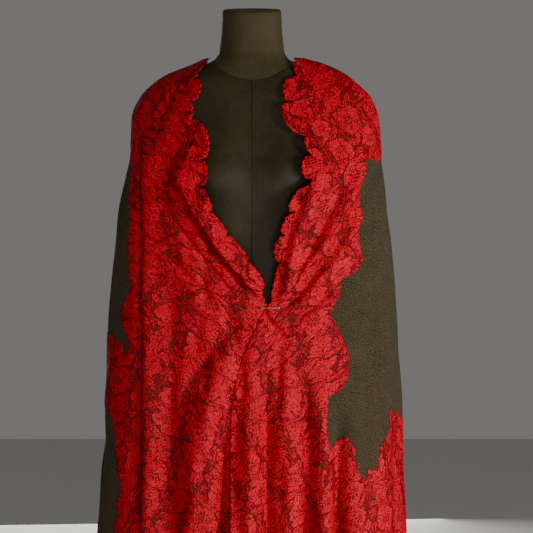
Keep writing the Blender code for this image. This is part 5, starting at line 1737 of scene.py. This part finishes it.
@dataclass
class DressForm:
    """The limbless body, its neck cap and the seam between them."""

    drape: Drape = field(default_factory=Drape)
    torso_bottom: float = 0.800
    neck_seam: float = 1.418
    seam_dip: float = 0.051
    seam_back_rise: float = 0.012
    tilt_from: float = 1.290
    neck_top: float = 1.505
    top_tilt: float = -0.010
    gap: float = 0.0003
    cord_radius: float = 0.0011
    steps: int = 128

    def seam_height(self, bearing: Array) -> Array:
        """Height of the neck seam, which dips in a deep curve in front."""
        ahead, behind = np.maximum(np.cos(bearing), 0.0), np.maximum(-np.cos(bearing), 0.0)
        return self.neck_seam - self.seam_dip * ahead**1.6 + self.seam_back_rise * behind

    def spun(
        self, name: str, profile: Sequence[tuple[float, float]], shape: Callable[[Array, Array, Array], Array]
    ) -> bpy.types.Mesh:
        """Spin a profile round the axis, then give it the form's section.

        Args:
            name: The mesh's name.
            profile: Shares of the radius and of the height, from axis to axis.
            shape: Turns bearings, radius shares and height shares into points.

        Returns:
            The mesh.
        """
        body = spin_profile(profile, self.steps)
        places = np.array([vert.co for vert in body.verts])
        bearing = np.arctan2(places[:, 0], -places[:, 1])
        points = shape(bearing, np.hypot(places[:, 0], places[:, 1]), places[:, 2])
        for vert, point in zip(body.verts, points):
            vert.co = point
        bmesh.ops.recalc_face_normals(body, faces=list(body.faces))
        return smooth_mesh(body, name, 50)

    def round_points(self, bearing: Array, share: Array, height: Array, inset: Array) -> Array:
        """Points at a share of the form's radius."""
        radius = share * (self.drape.form_radius(bearing, height) - inset)
        return np.stack([radius * np.sin(bearing), -radius * np.cos(bearing), height], axis=-1)

    def torso(self) -> bpy.types.Mesh:
        """The body under ribbed cloth."""
        heights = np.linspace(self.torso_bottom, self.neck_seam, 96)
        profile = [(0.0, heights[0]), (0.5, heights[0]), (0.975, heights[0]), (1.0, heights[0] + 0.004)]
        profile += [(1.0, float(height)) for height in heights[1:]]
        profile += [(0.6, self.neck_seam), (0.0, self.neck_seam)]

        def shape(bearing: Array, share: Array, height: Array) -> Array:
            """Tilt the top rows with the seam."""
            tilted = smooth_step((height - self.tilt_from) / (self.neck_seam - self.tilt_from))
            level = height + (self.seam_height(bearing) - self.neck_seam) * tilted
            return self.round_points(bearing, share, level, 0.0 * level)

        return self.spun("torso", profile, shape)

    def neck(self) -> bpy.types.Mesh:
        """The neck cap, with a flat tilted top."""
        profile = [(0.0, 0.0), (0.6, 0.0), (1.0, 0.0)]
        profile += [(1.0, float(share)) for share in np.linspace(0.04, 0.95, 24)]
        profile += [(0.99, 0.975), (0.965, 0.992), (0.93, 1.0), (0.6, 0.997), (0.3, 0.995), (0.0, 0.995)]

        def shape(bearing: Array, share: Array, level: Array) -> Array:
            """Run from the seam to the tilted top."""
            low = self.seam_height(bearing) + self.gap
            high = self.neck_top + self.top_tilt * np.cos(bearing)
            height = low + (high - low) * level
            flat = np.where(level > 0.9, share, 1.0)
            middle = high * flat + self.neck_top * (1.0 - flat)
            height = np.where(level > 0.96, low + (middle - low) * level, height)
            return self.round_points(bearing, share, height, 0.0 * height)

        return self.spun("neck", profile, shape)

    def seam_cord(self) -> bpy.types.Mesh:
        """The thin cord in the neck seam."""
        ring = [
            (1.0 + self.cord_radius * math.cos(turn), self.cord_radius * math.sin(turn))
            for turn in np.linspace(0.0, math.tau, 9)
        ]

        def shape(bearing: Array, share: Array, level: Array) -> Array:
            """Follow the seam."""
            seam = self.seam_height(bearing)
            radius = self.drape.form_radius(bearing, seam) + share - 1.0 - 0.3 * self.cord_radius
            return np.stack([radius * np.sin(bearing), -radius * np.cos(bearing), seam + level], axis=-1)

        return self.spun("seam cord", ring, shape)

    def build(self) -> None:
        """Build the form."""
        body_cloth = RibbedFinish(
            "form_ribbed_cloth", dark=(0.0118, 0.0086, 0.0031), light=(0.043, 0.033, 0.0145)
        ).material()
        cap_cloth = RibbedFinish(
            "neck_cap_cloth", dark=(0.034, 0.025, 0.010), light=(0.068, 0.052, 0.022), ribs=150, seam=-1.0
        ).material()
        add_piece("form_body", self.torso(), body_cloth, ("form_torso",))
        add_piece("form_neck_cap", self.neck(), cap_cloth, ("form_neck",))
        add_piece("form_neck_seam", self.seam_cord(), cap_cloth, ())


@dataclass
class Stand:
    """A plain pole on a round base."""

    pole_radius: float = 0.0175
    pole_top: float = 0.7997
    base_radius: float = 0.175
    base_height: float = 0.022
    bevel: float = 0.006
    gap: float = 0.0003

    def build(self) -> None:
        """Build the stand."""
        metal = MetalFinish("stand_metal", (0.020, 0.018, 0.016), (0.045, 0.041, 0.037), 0.38, 0.6).material()
        foot = self.base_height + self.gap
        pole = [(0, foot), (self.pole_radius, foot), (self.pole_radius, self.pole_top), (0, self.pole_top)]
        add_piece("stand_pole", turned("pole", pole, 64, 0.001), metal, ("form_pole",))
        base = [(0, 0), (self.base_radius, 0), (self.base_radius, self.base_height), (0, self.base_height)]
        add_piece("stand_base", turned("base", base, 96, self.bevel), metal, ("form_base",))


@dataclass
class Pin:
    """A straight pin with a ball head, lying on the lace where the fronts meet."""

    length: float = 0.034
    radius: float = 0.0008
    head_radius: float = 0.0026
    point: float = 0.004

    def build(self) -> None:
        """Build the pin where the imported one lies."""
        low, high = (Vector(corner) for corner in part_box("pin"))
        meet = math.sqrt(self.head_radius**2 - self.radius**2)
        profile = [(0.0, 0.0), (self.radius, self.point), (self.radius, self.length)]
        reach = math.pi - math.asin(self.radius / self.head_radius)
        for turn in range(1, 13):
            angle = reach * (1 - turn / 12)
            along = self.length + meet + self.head_radius * math.cos(angle)
            profile.append((self.head_radius * math.sin(angle) if turn < 12 else 0.0, along))
        data = turned("pin", profile, 20, 0.0)
        middle = (low + high) / 2
        lie = Matrix.Translation((low.x, middle.y, middle.z)) @ Matrix.Rotation(math.pi / 2, 4, "Y")
        data.transform(lie)
        nickel = MetalFinish("nickel_pin", (0.20, 0.18, 0.16), (0.42, 0.40, 0.37), 0.32, 1.0, 400.0)
        add_piece("straight_pin", data, nickel.material(), ("pin",))


@dataclass
class Studio:
    """The floor, the lights and the camera."""

    floor_half: float = 6.0
    camera_place: tuple[float, float, float] = (0.0276, -3.4, 1.08)
    aim_height: float = 1.018
    field_width: float = 1.013

    def light(self, name: str, place: Sequence[float], size: float, power: float) -> None:
        """Add a soft square light aimed at the shawl's middle."""
        lamp = bpy.data.lights.new(name, "AREA")
        lamp.shape, lamp.size, lamp.energy = "SQUARE", size, power
        thing = bpy.data.objects.new(name, lamp)
        thing.location = place
        thing.rotation_euler = (Vector((0, 0, 1.0)) - Vector(place)).to_track_quat("-Z", "Y").to_euler()
        bpy.context.scene.collection.objects.link(thing)

    def build(self) -> None:
        """Set up the studio."""
        floor = bmesh.new()
        bmesh.ops.create_grid(floor, x_segments=1, y_segments=1, size=self.floor_half)
        data = bpy.data.meshes.new("floor")
        floor.to_mesh(data)
        floor.free()
        material, shader, surface = new_material("pale_floor")
        place = shader.node("ShaderNodeTexCoord").outputs["Object"]
        tone = shader.noise(place, 3.0, 2.0)
        pale = shader.blend(tone, (0.60, 0.59, 0.57), (0.64, 0.63, 0.61))
        shader.tree.links.new(pale, surface.inputs["Base Color"])
        surface.inputs["Roughness"].default_value = 0.8
        data.materials.append(material)
        plane = bpy.data.objects.new("floor", data)
        bpy.context.scene.collection.objects.link(plane)
        world = bpy.data.worlds.new("studio")
        world.use_nodes = True
        world.node_tree.nodes["Background"].inputs["Color"].default_value = (0.80, 0.78, 0.75, 1.0)
        world.node_tree.nodes["Background"].inputs["Strength"].default_value = 0.22
        bpy.context.scene.world = world
        self.light("key light", (1.8, -1.4, 0.85), 0.7, 47.0)
        self.light("front light", (0.35, -3.4, 0.55), 0.9, 48.0)
        self.light("back light", (-0.3, 3.3, 0.9), 2.0, 46.0)
        camera = bpy.data.cameras.new("camera")
        camera.sensor_width = 36.0
        camera.lens = 36.0 * abs(self.camera_place[1]) / self.field_width
        thing = bpy.data.objects.new("camera", camera)
        drop = math.atan2(self.camera_place[2] - self.aim_height, abs(self.camera_place[1]))
        thing.location = self.camera_place
        thing.rotation_euler = (math.pi / 2 - drop, 0.0, 0.0)
        bpy.context.scene.collection.objects.link(thing)
        bpy.context.scene.camera = thing


def main() -> None:
    """Build the piece in order."""
    logging.basicConfig(level=logging.INFO)
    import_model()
    Studio().build()
    drape = Drape()
    Shawl(drape).build()
    DressForm(drape).build()
    Stand().build()
    Pin().build()


if __name__ == "__main__":
    main()
